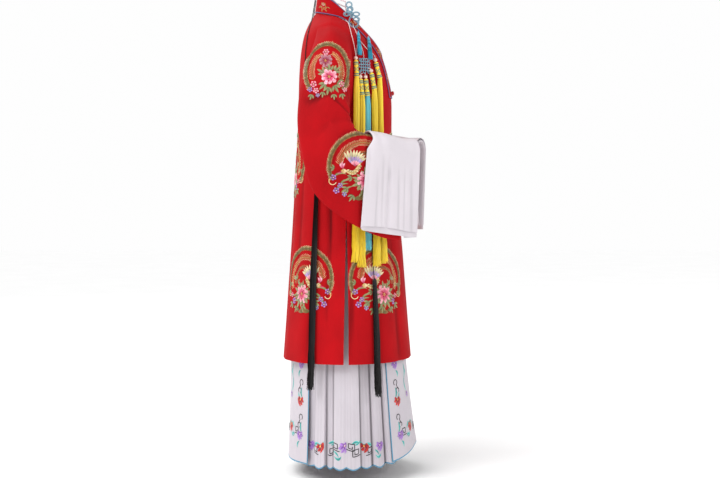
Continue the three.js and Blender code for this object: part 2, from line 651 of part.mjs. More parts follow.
// Where a cord ends, just above a tassel's bead.
function beadTop(side, { beadY, beadZ }) {
  const x = clearOf(side, beadY, beadZ, TASSEL_RADIUS + REST);
  return vec(side * x, beadY, beadZ + BEAD + LIFT - SHOULDER_HEIGHT);
}

function tassel(side, { beadY, silkY, tipY, beadZ, tipZ }) {
  const silkZ = beadZ - BEAD - HEAD_LENGTH;
  const off = TASSEL_RADIUS + REST;
  const [bead, end, ...rest] = hangLine(side, [beadY, silkY, tipY], [beadZ, silkZ, tipZ], off);
  const neck = bead.clone().lerp(end, 0.07);
  return fuse([
    new THREE.SphereGeometry(BEAD, 6, 4).translate(bead.x, bead.y, bead.z),
    tube([neck, end], [HEAD_RADIUS, TASSEL_RADIUS], 6),
    ...strands([end.clone().add(vec(0, 0, 3)), rest[0], rest[1]], 6, TASSEL_RADIUS - STRAND, STRAND, 9),
  ]);
}

function smallTassel(side, { y, top, bottom }) {
  const height = t => lerp(top, bottom, t);
  const [start, middle, end] = [0, 0.5, 1].map(t => offCloth(side, y, height(t), SMALL_REST));
  const at = t => start.clone().lerp(middle, t);
  return fuse([
    tube([at(0), at(0.2), at(0.6)], [2.5, 4.6, 5.4], 6),
    ...strands([at(0.36), middle, end], 4, 2.9, 2.2, 3),
  ]);
}

function blackTassel(side, { start, cord, silk }) {
  const silkLine = silk.map(([y, z]) => offCloth(side, y, z, SILK_REST));
  const top = silkLine[0];
  const cordLine = [
    ...start.map(([x, y, z]) => vec(x * side, y, z - SHOULDER_HEIGHT)),
    ...cord.slice(0, -1).map(([y, z]) => offCloth(side, y, z, BLACK_CORD + 0.9)),
    top.clone().add(vec(0, 0, -4)),
  ];
  return fuse([
    tube(cordLine, cordLine.map(() => BLACK_CORD), 4),
    tube([top.clone().add(vec(0, 0, 6)), top.clone().add(vec(0, 0, -14))], [4, 6], 6),
    ...strands(silkLine, 3, 3.6, 4, 12),
  ]);
}

function knotwork(side) {
  const turned = new THREE.Quaternion().setFromAxisAngle(vec(0, 1, 0), side * PI / 2);
  const loops = KNOT_LOOPS.map(({ y, z, wide, tall }) => new THREE.TorusGeometry(tall, KNOT_CORD, 4, 8)
    .scale(1, wide / tall, 1).applyQuaternion(turned).translate(KNOT_X * side, y, z - SHOULDER_HEIGHT));
  const foot = vec(KNOT_X * side, KNOT_FOOT.y, KNOT_FOOT.z - SHOULDER_HEIGHT);
  const cords = CORD_PATHS.map((path, k) => {
    const line = path.map(([y, z]) => offCloth(side, y, z, CORD + 1));
    if (k === 0) line.unshift(foot);
    if (k < 2) line.push(beadTop(side, TASSELS[k === 0 ? TASSELS.length - 1 : 0]));
    return tube(line, line.map(() => CORD), 4);
  });
  const { point, normal } = flankAt(side, SQUARE_KNOT.y, SQUARE_KNOT.z);
  const centre = point.addScaledVector(normal, SQUARE_KNOT.thick / 2 + SQUARE_KNOT.rest);
  const lay = new THREE.Matrix4().lookAt(normal, vec(0, 0, 0), vec(0, 0, 1));
  const plate = new THREE.BoxGeometry(2 * SQUARE_KNOT.half, 2.4 * SQUARE_KNOT.half, SQUARE_KNOT.thick)
    .applyMatrix4(lay).translate(centre.x, centre.y, centre.z);
  const heart = new THREE.SphereGeometry(KNOT_HEART.radius, 6, 4).scale(0.7, 1, 1)
    .translate(KNOT_X * side, KNOT_HEART.y, KNOT_HEART.z - SHOULDER_HEIGHT);
  return fuse([...loops, heart, ...cords, plate]);
}

function neckCord() {
  const half = [0, 1, 2, 3].map(at => {
    const p = bandStation(1, at)[BAND_CELLS];
    const away = vec(p.x, p.y - along(TORSO, 'middle', 0), 0).normalize();
    return p.addScaledVector(away, NECK_CORD_REST).add(vec(0, 0, NECK_CORD + 0.5));
  });
  half[0].x = 0;
  const front = NECK_CORD_FRONT.map(({ x, y, z }) => vec(x, y, z - SHOULDER_HEIGHT));
  const left = [...half, ...front];
  const right = left.slice(1).map(p => vec(-p.x, p.y, p.z)).reverse();
  const line = [...right, ...left];
  return tube(line, line.map(() => NECK_CORD), 6);
}

// A knotted button and its two flat loops, on the collar band's ends.
const BUTTON = { z: 1166, ball: 6, reach: 26, thick: 2 };

function frogButton() {
  const at = x => {
    const { point, normal } = chestAt(Math.sign(x) || 1, abs(x), BUTTON.z);
    return point.addScaledVector(normal, BAND_LIFT + BAND_WALL + LIFT + BUTTON.thick);
  };
  const bar = [-BUTTON.reach, -12, 0, 12, BUTTON.reach].map(at);
  const ball = new THREE.SphereGeometry(BUTTON.ball, 8, 6).translate(0, bar[2].y - 3, bar[2].z);
  return fuse([tube(bar, bar.map(() => [3.5, BUTTON.thick]), 6, bar.map(() => vec(0, -1, 0))), ball]);
}

// ---------- colours and assembly ----------
const RED = 0xc0262a;
const WHITE = 0xe9e3e9;
const SKIRT_WHITE = 0xdad3da;
const BLUE = 0x5f9fb4;
const GOLD = 0xe0b03c;
const TEAL = 0x65aab5;
const BLACK_SILK = 0x1a1718;
const KNOT_BLUE = 0x7e9fa9;

const costume = new THREE.Group();
function add(name, geometry, color) {
  const mesh = new THREE.Mesh(geometry, new THREE.MeshStandardMaterial({ color, roughness: 0.7 }));
  mesh.name = name;
  costume.add(mesh);
}

add('robe_back', backPanel(), RED);
add('under_collar', underCollar(), WHITE);
add('skirt_front_panel', skirtPanel(0), SKIRT_WHITE);
add('skirt_back_panel', skirtPanel(180), SKIRT_WHITE);
add('skirt_waistband', waistband(), SKIRT_WHITE);
add('neck_cord', neckCord(), WHITE);
add('frog_button', frogButton(), RED);
for (const [hand, side] of [['right', -1], ['left', 1]]) {
  add(`robe_front_${hand}`, frontPanel(side), RED);
  add(`sleeve_${hand}`, sleeve(side), RED);
  add(`water_sleeve_${hand}`, waterSleeve(side), WHITE);
  add(`collar_${hand}`, collarBand(side), RED);
  add(`skirt_pleats_${hand}`, skirtPleats(side), SKIRT_WHITE);
  add(`knotwork_${hand}`, knotwork(side), KNOT_BLUE);
  for (const row of TASSELS) {
    add(`tassel_${row.name}_${hand}`, tassel(side, row), row.name === 'blue' ? TEAL : GOLD);
  }
  for (const row of SMALL_TASSELS) add(`small_tassel_${row.name}_${hand}`, smallTassel(side, row), BLUE);
  for (const row of BLACK) add(`black_tassel_${row.name}_${hand}`, blackTassel(side, row), BLACK_SILK);
}

export default costume;
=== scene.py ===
# %% [markdown]
# # A stage robe, a pleated skirt and their knotted cords
# This lesson dresses a plain solid model of a worn costume. The model is the frame: it says where each
# piece of cloth, cord and silk is. We make every piece again with finer folds, thread and embroidery,
# in the same place, and give it a finish. Sizes are in millimetres in the tables, because that is how a
# maker measures cloth, and one helper turns them into Blender's metres.

# %% Load the frame
import functools
import math

import bpy
import numpy as np
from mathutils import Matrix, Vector


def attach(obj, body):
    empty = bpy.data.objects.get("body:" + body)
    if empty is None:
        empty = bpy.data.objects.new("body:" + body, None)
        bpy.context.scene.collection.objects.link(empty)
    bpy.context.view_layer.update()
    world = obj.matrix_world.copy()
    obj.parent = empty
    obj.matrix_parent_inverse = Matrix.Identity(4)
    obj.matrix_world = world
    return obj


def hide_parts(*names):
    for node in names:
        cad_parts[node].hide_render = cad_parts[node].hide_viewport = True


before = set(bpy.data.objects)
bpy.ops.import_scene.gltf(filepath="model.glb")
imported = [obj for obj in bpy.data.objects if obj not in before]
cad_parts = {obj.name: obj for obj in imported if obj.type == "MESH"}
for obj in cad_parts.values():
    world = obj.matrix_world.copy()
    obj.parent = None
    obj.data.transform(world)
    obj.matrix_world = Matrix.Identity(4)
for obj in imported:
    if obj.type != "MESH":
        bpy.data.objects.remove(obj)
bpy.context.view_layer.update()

# %% [markdown]
# ## Small tools
# Cloth is described by short tables of sections. Between two sections we want a smooth curve that goes
# through both, so we use the same cubic curve that animators use between key frames. numpy lets one
# call work on a whole grid of points, which keeps the script fast.

# %% Curves through tables
MM = 0.001                 # one millimetre in Blender's unit
SHOULDER_HEIGHT = 1398     # floor to the tops of the shoulder seams, the frame's zero


def table(columns, *rows):
    return {name: np.array([row[i] for row in rows], float) for i, name in enumerate(columns.split())}


def cubic(a, b, c, d, f):
    """The curve from b to c, at f from 0 to 1, which also heeds a before it and d after it."""
    return b + f * 0.5 * (c - a + f * (2 * a - 5 * b + 4 * c - d + f * (3 * (b - c) + d - a)))


def along(rows, column, at):
    """A column's value at a row number, which may lie between two rows."""
    values = rows[column]
    last = len(values) - 1
    t = np.clip(at, 0, last)
    i = np.minimum(np.floor(t).astype(int), last - 1)
    return cubic(*(values[np.clip(i + k, 0, last)] for k in (-1, 0, 1, 2)), t - i)


def smooth(t):
    c = np.clip(t, 0, 1)
    return c * c * (3 - 2 * c)


def bell(t):
    return np.exp(-(np.asarray(t, float) ** 2))


def mix(a, b, t):
    return a + (b - a) * t


def unit(v):
    return v / np.maximum(np.linalg.norm(v, axis=-1, keepdims=True), 1e-9)


def point(x, y, z):
    return np.stack(np.broadcast_arrays(np.asarray(x, float), y, z), axis=-1)


def pin(x, y, height):
    """One point, with its height measured from the floor."""
    return np.array([x, y, height - SHOULDER_HEIGHT])


def mirror(side):
    """Multiplies a point of the left half: 1 keeps it there, -1 sends it to the right."""
    return np.array([side, 1, 1])


def spaced(start, *stretches):
    """Even steps from start through several stops; a stretch is (stop, number of steps)."""
    values = []
    for stop, count in stretches:
        values.append(np.linspace(start, stop, count, endpoint=False))
        start = stop
    return np.append(np.concatenate(values), start)


def full_turn(count):
    return np.linspace(0, 2 * np.pi, count, endpoint=False)


def travelled(line):
    """How far along a line each of its points lies."""
    return np.concatenate([[0], np.cumsum(np.linalg.norm(np.diff(line, axis=0), axis=1))])


print("halfway between 0 and 10, smoothed:", float(mix(0, 10, smooth(0.5))))

# %% [markdown]
# ## The camera
# The costume is seen straight from its right side, from chest height, with a long lens. Long lenses
# keep folds and hems undistorted, which is why clothes are usually shown that way. We tilt the camera a
# little instead of shifting the lens.

# %% Place the camera
CAMERA_AT = (-4.5, -0.0403, -0.498)
CAMERA_DROP = 0.183        # how much lower the aim point is, in metres, at the costume's distance
LENS, FILM_WIDTH = 72.58, 36


def into_scene(name, data):
    """An object that carries a mesh, a lamp or a camera in the scene."""
    thing = bpy.data.objects.new(name, data)
    bpy.context.scene.collection.objects.link(thing)
    return thing


def look_along(thing, direction):
    thing.rotation_euler = direction.to_track_quat("-Z", "Y").to_euler()


camera_data = bpy.data.cameras.new("camera")
camera_data.lens = LENS
camera_data.sensor_width = FILM_WIDTH
camera = into_scene("camera", camera_data)
camera.location = CAMERA_AT
aim = Vector((-CAMERA_AT[0], 0, -CAMERA_DROP))
look_along(camera, aim)
bpy.context.scene.camera = camera
print("camera looks along", [round(v, 3) for v in aim.normalized()])

# %% [markdown]
# ## Finishes
# Cloth looks like cloth for three reasons: a soft sheen at grazing angles, a fine weave that breaks up
# the light, and small changes of colour where dye and wear differ. Each finish below sets its sheen and
# roughness on the shader itself and adds a little noise to colour and bump. A fold's floor also keeps
# less light than the cloth beside it, and an even light washes that shade out. So each cloth carries a
# number per point, named painted_fold_shade, and that painted shade darkens its colour in the folds.

# %% Colour helpers
def linear(rgb):
    values = [c / 255 for c in rgb]
    return tuple(c / 12.92 if c <= 0.04045 else ((c + 0.055) / 1.055) ** 2.4 for c in values) + (1.0,)


def shade(rgb, factor):
    return tuple(min(255, c * factor) for c in rgb)


print("half grey in linear light:", round(linear((128, 128, 128))[0], 3))


# %% Parts of a finish
def new_finish(name, roughness, sheen=0.0, sheen_tint=(255, 255, 255)):
    finish = bpy.data.materials.new(name)
    finish.use_nodes = True
    shader = finish.node_tree.nodes["Principled BSDF"]
    shader.inputs["Roughness"].default_value = roughness
    shader.inputs["Sheen Weight"].default_value = sheen
    shader.inputs["Sheen Roughness"].default_value = 0.45
    shader.inputs["Sheen Tint"].default_value = linear(sheen_tint)
    shader.inputs["Specular IOR Level"].default_value = 0.3
    return finish, finish.node_tree.nodes, finish.node_tree.links, shader


def noise(nodes, links, scale, detail=2.0, stretch=(1, 1, 1)):
    place = nodes.new("ShaderNodeTexCoord")
    spread = nodes.new("ShaderNodeMapping")
    spread.inputs["Scale"].default_value = stretch
    texture = nodes.new("ShaderNodeTexNoise")
    texture.inputs["Scale"].default_value = scale
    texture.inputs["Detail"].default_value = detail
    links.new(place.outputs["Object"], spread.inputs["Vector"])
    links.new(spread.outputs["Vector"], texture.inputs["Vector"])
    return texture.outputs["Fac"]


def two_tone(nodes, links, factor, low, high):
    ramp = nodes.new("ShaderNodeValToRGB")
    ramp.color_ramp.elements[0].position = 0.32
    ramp.color_ramp.elements[1].position = 0.68
    ramp.color_ramp.elements[0].color = linear(low)
    ramp.color_ramp.elements[1].color = linear(high)
    links.new(factor, ramp.inputs["Fac"])
    return ramp.outputs["Color"]


def bump(nodes, links, shader, height, strength, depth):
    node = nodes.new("ShaderNodeBump")
    node.inputs["Strength"].default_value = strength
    node.inputs["Distance"].default_value = depth
    links.new(height, node.inputs["Height"])
    links.new(node.outputs["Normal"], shader.inputs["Normal"])


# %% Woven cloth
PAINTED_FOLD_FLOOR = 0.45          # how bright the deepest fold's painted shade is, beside open cloth
WEAVE_DEPTH, THREAD_DEPTH = 0.0004, 0.0003      # relief of weave and of loose thread, in metres


def woven(name, colour, roughness, sheen, sheen_tint, patch=0.05, thread=1500, strength=0.25):
    finish, nodes, links, shader = new_finish(name, roughness, sheen, sheen_tint)
    tone = noise(nodes, links, 9, 3)
    open_cloth = two_tone(nodes, links, tone, shade(colour, 1 - patch), shade(colour, 1 + patch))
    # Painted shade: the colour darkens towards PAINTED_FOLD_FLOOR where the point's painted_fold_shade is
    # high.
    painted_fold_shade = nodes.new("ShaderNodeAttribute")
    painted_fold_shade.attribute_name = "painted_fold_shade"
    painted_shade_mix = nodes.new("ShaderNodeMixRGB")
    painted_shade_mix.inputs["Color2"].default_value = linear(shade(colour, PAINTED_FOLD_FLOOR))
    links.new(painted_fold_shade.outputs["Fac"], painted_shade_mix.inputs["Fac"])
    links.new(open_cloth, painted_shade_mix.inputs["Color1"])
    links.new(painted_shade_mix.outputs["Color"], shader.inputs["Base Color"])
    warp = noise(nodes, links, thread, 1, (1, 1, 0.35))
    weft = noise(nodes, links, thread, 1, (0.35, 0.35, 1))
    cross = nodes.new("ShaderNodeMath")
    cross.operation = "ADD"
    links.new(warp, cross.inputs[0])
    links.new(weft, cross.inputs[1])
    bump(nodes, links, shader, cross.outputs["Value"], strength, WEAVE_DEPTH)
    return finish


def dull(finish, level):
    """A crepe's twisted threads throw back very little white light."""
    finish.node_tree.nodes["Principled BSDF"].inputs["Specular IOR Level"].default_value = level
    return finish


RED = woven("red crepe", (174, 7, 17), 0.8, 0.02, (255, 70, 60), 0.05)
RED_INSIDE = woven("red lining", (164, 58, 60), 0.8, 0.08, (255, 160, 150))
WATER_SILK = woven("thin white silk", (216, 209, 215), 0.55, 0.12, (255, 250, 255), 0.012, 1900, 0.18)
SKIRT_SILK = woven("skirt satin", (199, 192, 199), 0.55, 0.08, (255, 250, 255), 0.015, 1700, 0.2)
PIPING = woven("piping silk", (96, 88, 132), 0.5, 0.2, (190, 190, 255))
HEM_BLUE = woven("hem binding", (84, 142, 172), 0.5, 0.2, (200, 230, 255))
dull(RED, 0.13)
print("cloths:", [m.name for m in (RED, RED_INSIDE, WATER_SILK, SKIRT_SILK, PIPING, HEM_BLUE)])


# %% Thread, cord and beads
def threads(name, roughness, sheen, pitch=2600, strength=0.3):
    """Takes its colour from the piece's own 'thread' colours, so one finish serves every silk."""
    finish, nodes, links, shader = new_finish(name, roughness, sheen)
    colour = nodes.new("ShaderNodeVertexColor")
    colour.layer_name = "thread"
    links.new(colour.outputs["Color"], shader.inputs["Base Color"])
    bump(nodes, links, shader, noise(nodes, links, pitch, 1), strength, THREAD_DEPTH)
    return finish


EMBROIDERY = threads("satin stitch silk", 0.42, 0.15)
TASSEL_SILK = threads("tassel silk", 0.38, 0.2, 1400, 0.15)
CORD_SILK = threads("twisted cord", 0.6, 0.15, 1800, 0.5)


def bead_finish():
    finish, nodes, links, shader = new_finish("pale bead", 0.22)
    tone = noise(nodes, links, 160, 2)
    links.new(two_tone(nodes, links, tone, (226, 196, 186), (246, 226, 214)), shader.inputs["Base Color"])
    shader.inputs["Coat Weight"].default_value = 0.5
    shader.inputs["Coat Roughness"].default_value = 0.1
    return finish


BEAD_FINISH = bead_finish()
print("threads:", EMBROIDERY.name, TASSEL_SILK.name, CORD_SILK.name, BEAD_FINISH.name)

# %% [markdown]
# ## From a grid of points to a piece of cloth
# A piece of cloth is a grid of points with a thickness. We lay a second grid just inside the first and
# close the rim, which gives a true wall that can be seen from both sides. Blender's Solidify modifier
# does the same, but here each face also learns what it is: outside, inside or bound edge. To find how
# deep a fold lies, we ease a copy of the grid until its folds are gone and measure how far below that
# even cloth each point sits. That depth becomes painted shade, which darkens the cloth's colour in the
# folds.

# %% A mesh with its finishes
def mesh_piece(name, points, faces, finishes, marks=None, colours=None, sharp=None):
    mesh = bpy.data.meshes.new(name)
    mesh.from_pydata((np.asarray(points) * MM).tolist(), [], faces)
    for finish in finishes:
        mesh.materials.append(finish)
    if marks is not None:
        mesh.polygons.foreach_set("material_index", np.asarray(marks, np.int32))
    if colours is not None:
        layer = mesh.color_attributes.new("thread", "FLOAT_COLOR", "POINT")
        layer.data.foreach_set("color", np.asarray(colours, np.float32).ravel())
    mesh.shade_smooth()
    if sharp is not None:
        mesh.set_sharp_from_angle(angle=math.radians(sharp))
    print(f"{name}: {len(faces)} faces")
    return into_scene(name, mesh)


# %% How deep a fold lies, turned into painted shade
def grid_normals(grid, wrap):
    down = np.gradient(grid, axis=0)
    across = (np.roll(grid, -1, axis=1) - np.roll(grid, 1, axis=1)) if wrap else np.gradient(grid, axis=1)
    return unit(np.cross(down, across))


# Painted shade in folds: how much per millimetre of depth, the darkest it gets, and the easing rounds.
SHADE_PER_MM, DEEPEST_SHADE, SHADE_ROUNDS = 0.34, 0.85, 10


def painted_fold_shades(grid, normals, wrap):
    """Painted shade for each point, from how deep it lies in a fold: 0 up to DEEPEST_SHADE."""
    even = grid.copy()
    for _ in range(SHADE_ROUNDS):
        beside = (np.roll(even, 1, axis=1) + np.roll(even, -1, axis=1)) / 2
        if not wrap:
            beside[:, [0, -1]] = even[:, [0, -1]]
        even[1:-1] = even[1:-1] / 2 + beside[1:-1] / 4 + (even[:-2] + even[2:]) / 8
    depth = np.sum((even - grid) * normals, axis=-1)
    return np.clip(depth * SHADE_PER_MM, 0, DEEPEST_SHADE).ravel()


sample = point(np.arange(0, 60, 4), 5 * np.sin(np.arange(0, 12, 0.8)), np.arange(0, -40, -4)[:, None])
print("a rippled sample's deepest shade:", painted_fold_shades(sample, grid_normals(sample, False), False).max().round(2))


# %% A wall of cloth
def cloth(name, grid, thickness, finishes, wrap=False, shown=None, bound=None, out=1, normals=None):
    rows, columns = grid.shape[:2]
    cells = columns if wrap else columns - 1
    shown = np.ones((rows - 1, cells), bool) if shown is None else shown
    bound = np.zeros((rows - 1, cells), bool) if bound is None else bound
    normals = grid_normals(grid, wrap) * out if normals is None else normals
    count = rows * columns
    outer = grid.reshape(-1, 3)
    inner = (grid - thickness * normals).reshape(-1, 3)
    faces, marks = [], []

    def has(i, j):
        j = j % columns if wrap else j
        return 0 <= i < rows - 1 and 0 <= j < cells and shown[i, j]

    def corner(i, j):
        return i * columns + j % columns

    for i in range(rows - 1):
        for j in range(cells):
            if not shown[i, j]:
                continue
            a, b, c, d = corner(i, j), corner(i + 1, j), corner(i + 1, j + 1), corner(i, j + 1)
            edge = 2 if bound[i, j] else 0
            faces += [(a, b, c, d), (a + count, d + count, c + count, b + count)]
            marks += [edge, edge or 1]
            for gap, p, q in ((not has(i - 1, j), d, a), (not has(i + 1, j), b, c),
                              (not has(i, j - 1), a, b), (not has(i, j + 1), c, d)):
                if gap:
                    faces.append((p, p + count, q + count, q))
                    marks.append(edge)
    used = np.unique([v for f in faces for v in f])
    order = np.full(2 * count, -1)
    order[used] = np.arange(len(used))
    faces = [tuple(int(order[v]) for v in (f if out > 0 else f[::-1])) for f in faces]
    piece = mesh_piece(name, np.concatenate([outer, inner])[used], faces, finishes, marks, sharp=50)
    # Each point's painted shade, which darkens the cloth's colour in its folds.
    layer = piece.data.attributes.new("painted_fold_shade", "FLOAT", "POINT")
    layer.data.foreach_set("value", np.tile(painted_fold_shades(grid, normals, wrap), 2)[used].astype(np.float32))
    print(f"    {sum(face.area for face in piece.data.polygons) / 2:.3f} m2 of cloth")
    return piece


def dress(piece, nodes):
    """Puts a piece on the costume, in place of its nodes, which it hides."""
    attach(piece, "root")
    if nodes:
        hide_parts(*nodes)
    return piece


# %% [markdown]
# ## The robe's body
# The robe is cut from two fronts and a back, with no waist seam: the cloth falls from the shoulder in
# one length and flares to the hem. We describe it by rings from the neckline to the hem, and let a few
# soft flutes grow towards the hem, as they do in a crepe of this weight.

# %% The robe's rings
TORSO = table("zFront zSide zBack front middle back side",
              [1290, 1398, 1412, -101, 42, 96, 64], [1262, 1384, 1380, -110, 44, 116, 118],
              [1232, 1360, 1340, -119, 46, 132, 164], [1190, 1318, 1285, -129, 44, 142, 177],
              [1145, 1258, 1220, -137, 38, 147, 174], [1097, 1190, 1155, -138, 30, 149, 166],
              [1045, 1112, 1088, -138, 22, 151, 157], [985, 1028, 1015, -141, 12, 154, 153],
              [915, 935, 930, -149, 6, 159, 160], [820, 820, 820, -158, 2, 165, 178],
              [705, 705, 705, -170, 0, 172, 197], [590, 590, 590, -179, 0, 180, 215],
              [475, 475, 475, -188, 0, 188, 232], [358, 356, 354, -198, 0, 197, 248])
HEM = 13                   # the last row
FLUTES = ((24, 13, 5), (52, 12, 6), (131, 13, 6), (157, 12, 5))      # place, half width, depth
HEM_HALF = 220             # half the hem's width, by which flutes and creases are measured
ARMHOLE_FRONT, ARMHOLE_BACK, ARMHOLE_TOP, ARMHOLE_BOTTOM = 70, 118, 2, 6
SLIT_TOP, SLIT_GAP = 9, 17
# Creases that sink into the cloth: place, how it drifts per row, half width, depth, first and last row.
CREASES = ((112, -1.6, 3.6, 5.2, 6, 10), (103, 1.2, 3.0, 4.0, 6.5, 12), (81, 0.8, 2.8, 4.2, 7, 12.5),
           (144, 0.4, 4.0, 4.6, 5, 11), (168, -0.3, 4.4, 4.4, 5, 13), (65, -0.9, 3.4, 4.2, 8, 13),
           (38, -0.4, 3.8, 4.4, 9, 13), (12, 0.2, 3.4, 2.6, 8, 13), (123, 0.9, 3.0, 4.6, 8.5, 13))


def ring_at(rings, turn, row):
    """From a table of rings: cosine, sine, reach to front or back, heights at the side and that end."""
    c, s = np.cos(np.radians(turn)), np.sin(np.radians(turn))
    reach, end_z = (np.where(c > 0, along(rings, front, row), along(rings, back, row))
                    for front, back in (("front", "back"), ("zFront", "zBack")))
    return c, s, reach, along(rings, "zSide", row), end_z


def torso(turn, row):
    """A point of the robe's body; turn runs from the front, 0, by the left side to the back, 180."""
    turn, row = np.broadcast_arrays(np.asarray(turn, float), np.asarray(row, float))
    c, s, reach, side_z, end_z = ring_at(TORSO, turn, row)
    mirrored = np.where(turn > 180, 360 - turn, turn)
    grow = smooth((row - ARMHOLE_BOTTOM) / (HEM - ARMHOLE_BOTTOM))
    flute = sum(depth * bell((mirrored - at) / width) for at, width, depth in FLUTES)
    crease = sum(depth * bell((mirrored - at - drift * (row - first)) / width)
                 * smooth((row - first) / 1.5) * smooth((last + 0.6 - row) / 1.5)
                 for at, drift, width, depth, first, last in CREASES)
    out = 1 + grow * flute / HEM_HALF - crease / HEM_HALF
    middle = along(TORSO, "middle", row)
    return point(along(TORSO, "side", row) * s * out, middle + (reach - middle) * np.abs(c) * out,
                 side_z + (end_z - side_z) * np.abs(c) ** 1.5 - SHOULDER_HEIGHT)


def torso_normal(turn, row):
    across = torso(turn + 1, row) - torso(turn - 1, row)
    down = torso(turn, np.minimum(row + 0.1, HEM)) - torso(turn, np.maximum(row - 0.1, 0))
    return unit(np.cross(down, across))


def slit_half(row):
    return np.where(row > SLIT_TOP, SLIT_GAP / 2 * (row - SLIT_TOP) / (HEM - SLIT_TOP), 0)


print("hem:", round(float(travelled(torso(np.arange(0, 361, 2.0), HEM))[-1])), "mm round")


# %% Cut and hang the fronts and the back
SEAM_INSET = 0.17
ROBE_WALL = 1.6
OPENING_TOP_GAP, OPENING_GAP = 1.2, 7
ROBE_ROWS = spaced(0, (ARMHOLE_TOP, 14), (ARMHOLE_BOTTOM, 28), (HEM, 56))
FRONT_TURNS = spaced(0, (ARMHOLE_FRONT, 32), (90, 10))
BACK_TURNS = spaced(90, (ARMHOLE_BACK, 12), (360 - ARMHOLE_BACK, 56), (270, 12))


def open_armhole(rows, turns):
    row = ((rows[:-1] + rows[1:]) / 2)[:, None]
    turn = ((turns[:-1] + turns[1:]) / 2)[None, :]
    turn = np.where(turn > 180, 360 - turn, turn)
    inside = (row > ARMHOLE_TOP) & (row < ARMHOLE_BOTTOM) & (turn > ARMHOLE_FRONT) & (turn < ARMHOLE_BACK)
    return ~inside


def robe_front(side, hand):
    row, turn = np.meshgrid(ROBE_ROWS, FRONT_TURNS, indexing="ij")
    grid = torso(turn, row)
    grid[..., 0] = np.maximum(grid[..., 0], mix(OPENING_TOP_GAP, OPENING_GAP, row / HEM) / 2)
    grid[:, -1, 1] -= slit_half(ROBE_ROWS) + SEAM_INSET
    return cloth(f"front_panel_{hand}", grid * mirror(side), ROBE_WALL, [RED, RED_INSIDE], out=side,
                 shown=open_armhole(ROBE_ROWS, FRONT_TURNS), normals=torso_normal(turn, row) * mirror(side))


def robe_back():
    row, turn = np.meshgrid(ROBE_ROWS, BACK_TURNS, indexing="ij")
    grid = torso(turn, row)
    grid[:, 0, 1] += slit_half(ROBE_ROWS) + SEAM_INSET
    grid[:, -1, 1] += slit_half(ROBE_ROWS) + SEAM_INSET
    return cloth("back_panel", grid, ROBE_WALL, [RED, RED_INSIDE],
                 shown=open_armhole(ROBE_ROWS, BACK_TURNS), normals=torso_normal(turn, row))


HANDS = (("right", -1), ("left", 1))
back = dress(robe_back(), ["robe_back"])
for hand, side in HANDS:
    front = dress(robe_front(side, hand), [f"robe_front_{hand}"])

# %% [markdown]
# ## The sleeves
# Each sleeve is a wide tube that hangs from the forearm like a bag. It is soft and heavy, so the cloth
# that is squeezed in the crook of the elbow throws folds across the outer side. We sweep a section
# along the arm, flatten the hanging part, and press the folds in as shallow troughs.

# %% The sleeve's sections
SLEEVE = table("cx cy cz topX topY topZ hangX hangY hangZ outX outY outZ nearX nearY nearZ flat",
               [200, 50, 1284, 202, -14, 1258, 206, 128, 1222, 229, 46, 1338, 177, 44, 1120, 0],
               [229, 54, 1212, 230, -11, 1206, 234, 138, 1152, 271, 48, 1266, 193, 50, 1100, 0],
               [254, 58, 1128, 254, -12, 1150, 261, 142, 1062, 301, 52, 1160, 211, 58, 1060, 0.1],
               [274, 56, 1064, 269, -16, 1098, 284, 128, 975, 320, 48, 1080, 232, 60, 1012, 0.25],
               [286, 40, 1020, 274, -24, 1060, 297, 103, 884, 329, 24, 1030, 244, 50, 980, 0.42],
               [280, 8, 996, 262, -46, 1038, 297, 64, 832, 318, -20, 1000, 240, 30, 968, 0.55],
               [260, -36, 984, 243, -74, 1030, 280, -2, 782, 295, -60, 988, 222, -12, 964, 0.62],
               [234, -82, 976, 221, -108, 1024, 253, -60, 749, 268, -104, 980, 198, -61, 960, 0.66],
               [206, -124, 970, 198, -137, 1016, 222, -116, 728, 238, -143, 974, 172, -105, 956, 0.68],
               [182, -158, 966, 178, -162, 1010, 196, -158, 722, 213, -176, 970, 150, -140, 953, 0.68])
CUFF = 10                  # the last section
LEFT_FORWARD, LEFT_UP = -34, 12         # the left hand is held a little further out and higher
# Folds from the crook of the elbow: start, slant, half width, depth.
ELBOW_FOLDS = ((3.9, -1.7, 0.42, 7), (4.7, -0.5, 0.38, 7), (5.4, 0.9, 0.4, 6), (2.4, -1.1, 0.4, 4))
# Finer creases between them, which only sink into the cloth: the same columns.
FINE_FOLDS = ((3.35, -1.5, 0.16, 4.2), (4.3, -1.1, 0.16, 5.5), (5.05, 0.3, 0.15, 4.4),
              (5.9, 1.3, 0.18, 3.6), (2.9, -0.6, 0.16, 1.8), (6.6, 1.5, 0.22, 1.8), (1.8, -0.5, 0.2, 1.6))


def elbow_fold(section, turn):
    across = np.where(turn > 180, turn - 360, turn) / 90
    fade = smooth(1.9 - np.abs(across - 0.55) * 1.5)
    deep = sum(depth * bell((section - start - slant * across) / width)
               for start, slant, width, depth in ELBOW_FOLDS)
    wide = smooth(2.1 - np.abs(across - 0.5) * 1.4)
    fine = sum(depth * bell((section - start - slant * across - 0.12 * np.sin(5 * across)) / width)
               for start, slant, width, depth in FINE_FOLDS)
    return -fade * deep - wide * fine


def arm_shift(side, section):
    return smooth((section - 4) / (CUFF - 4)) * (side > 0)


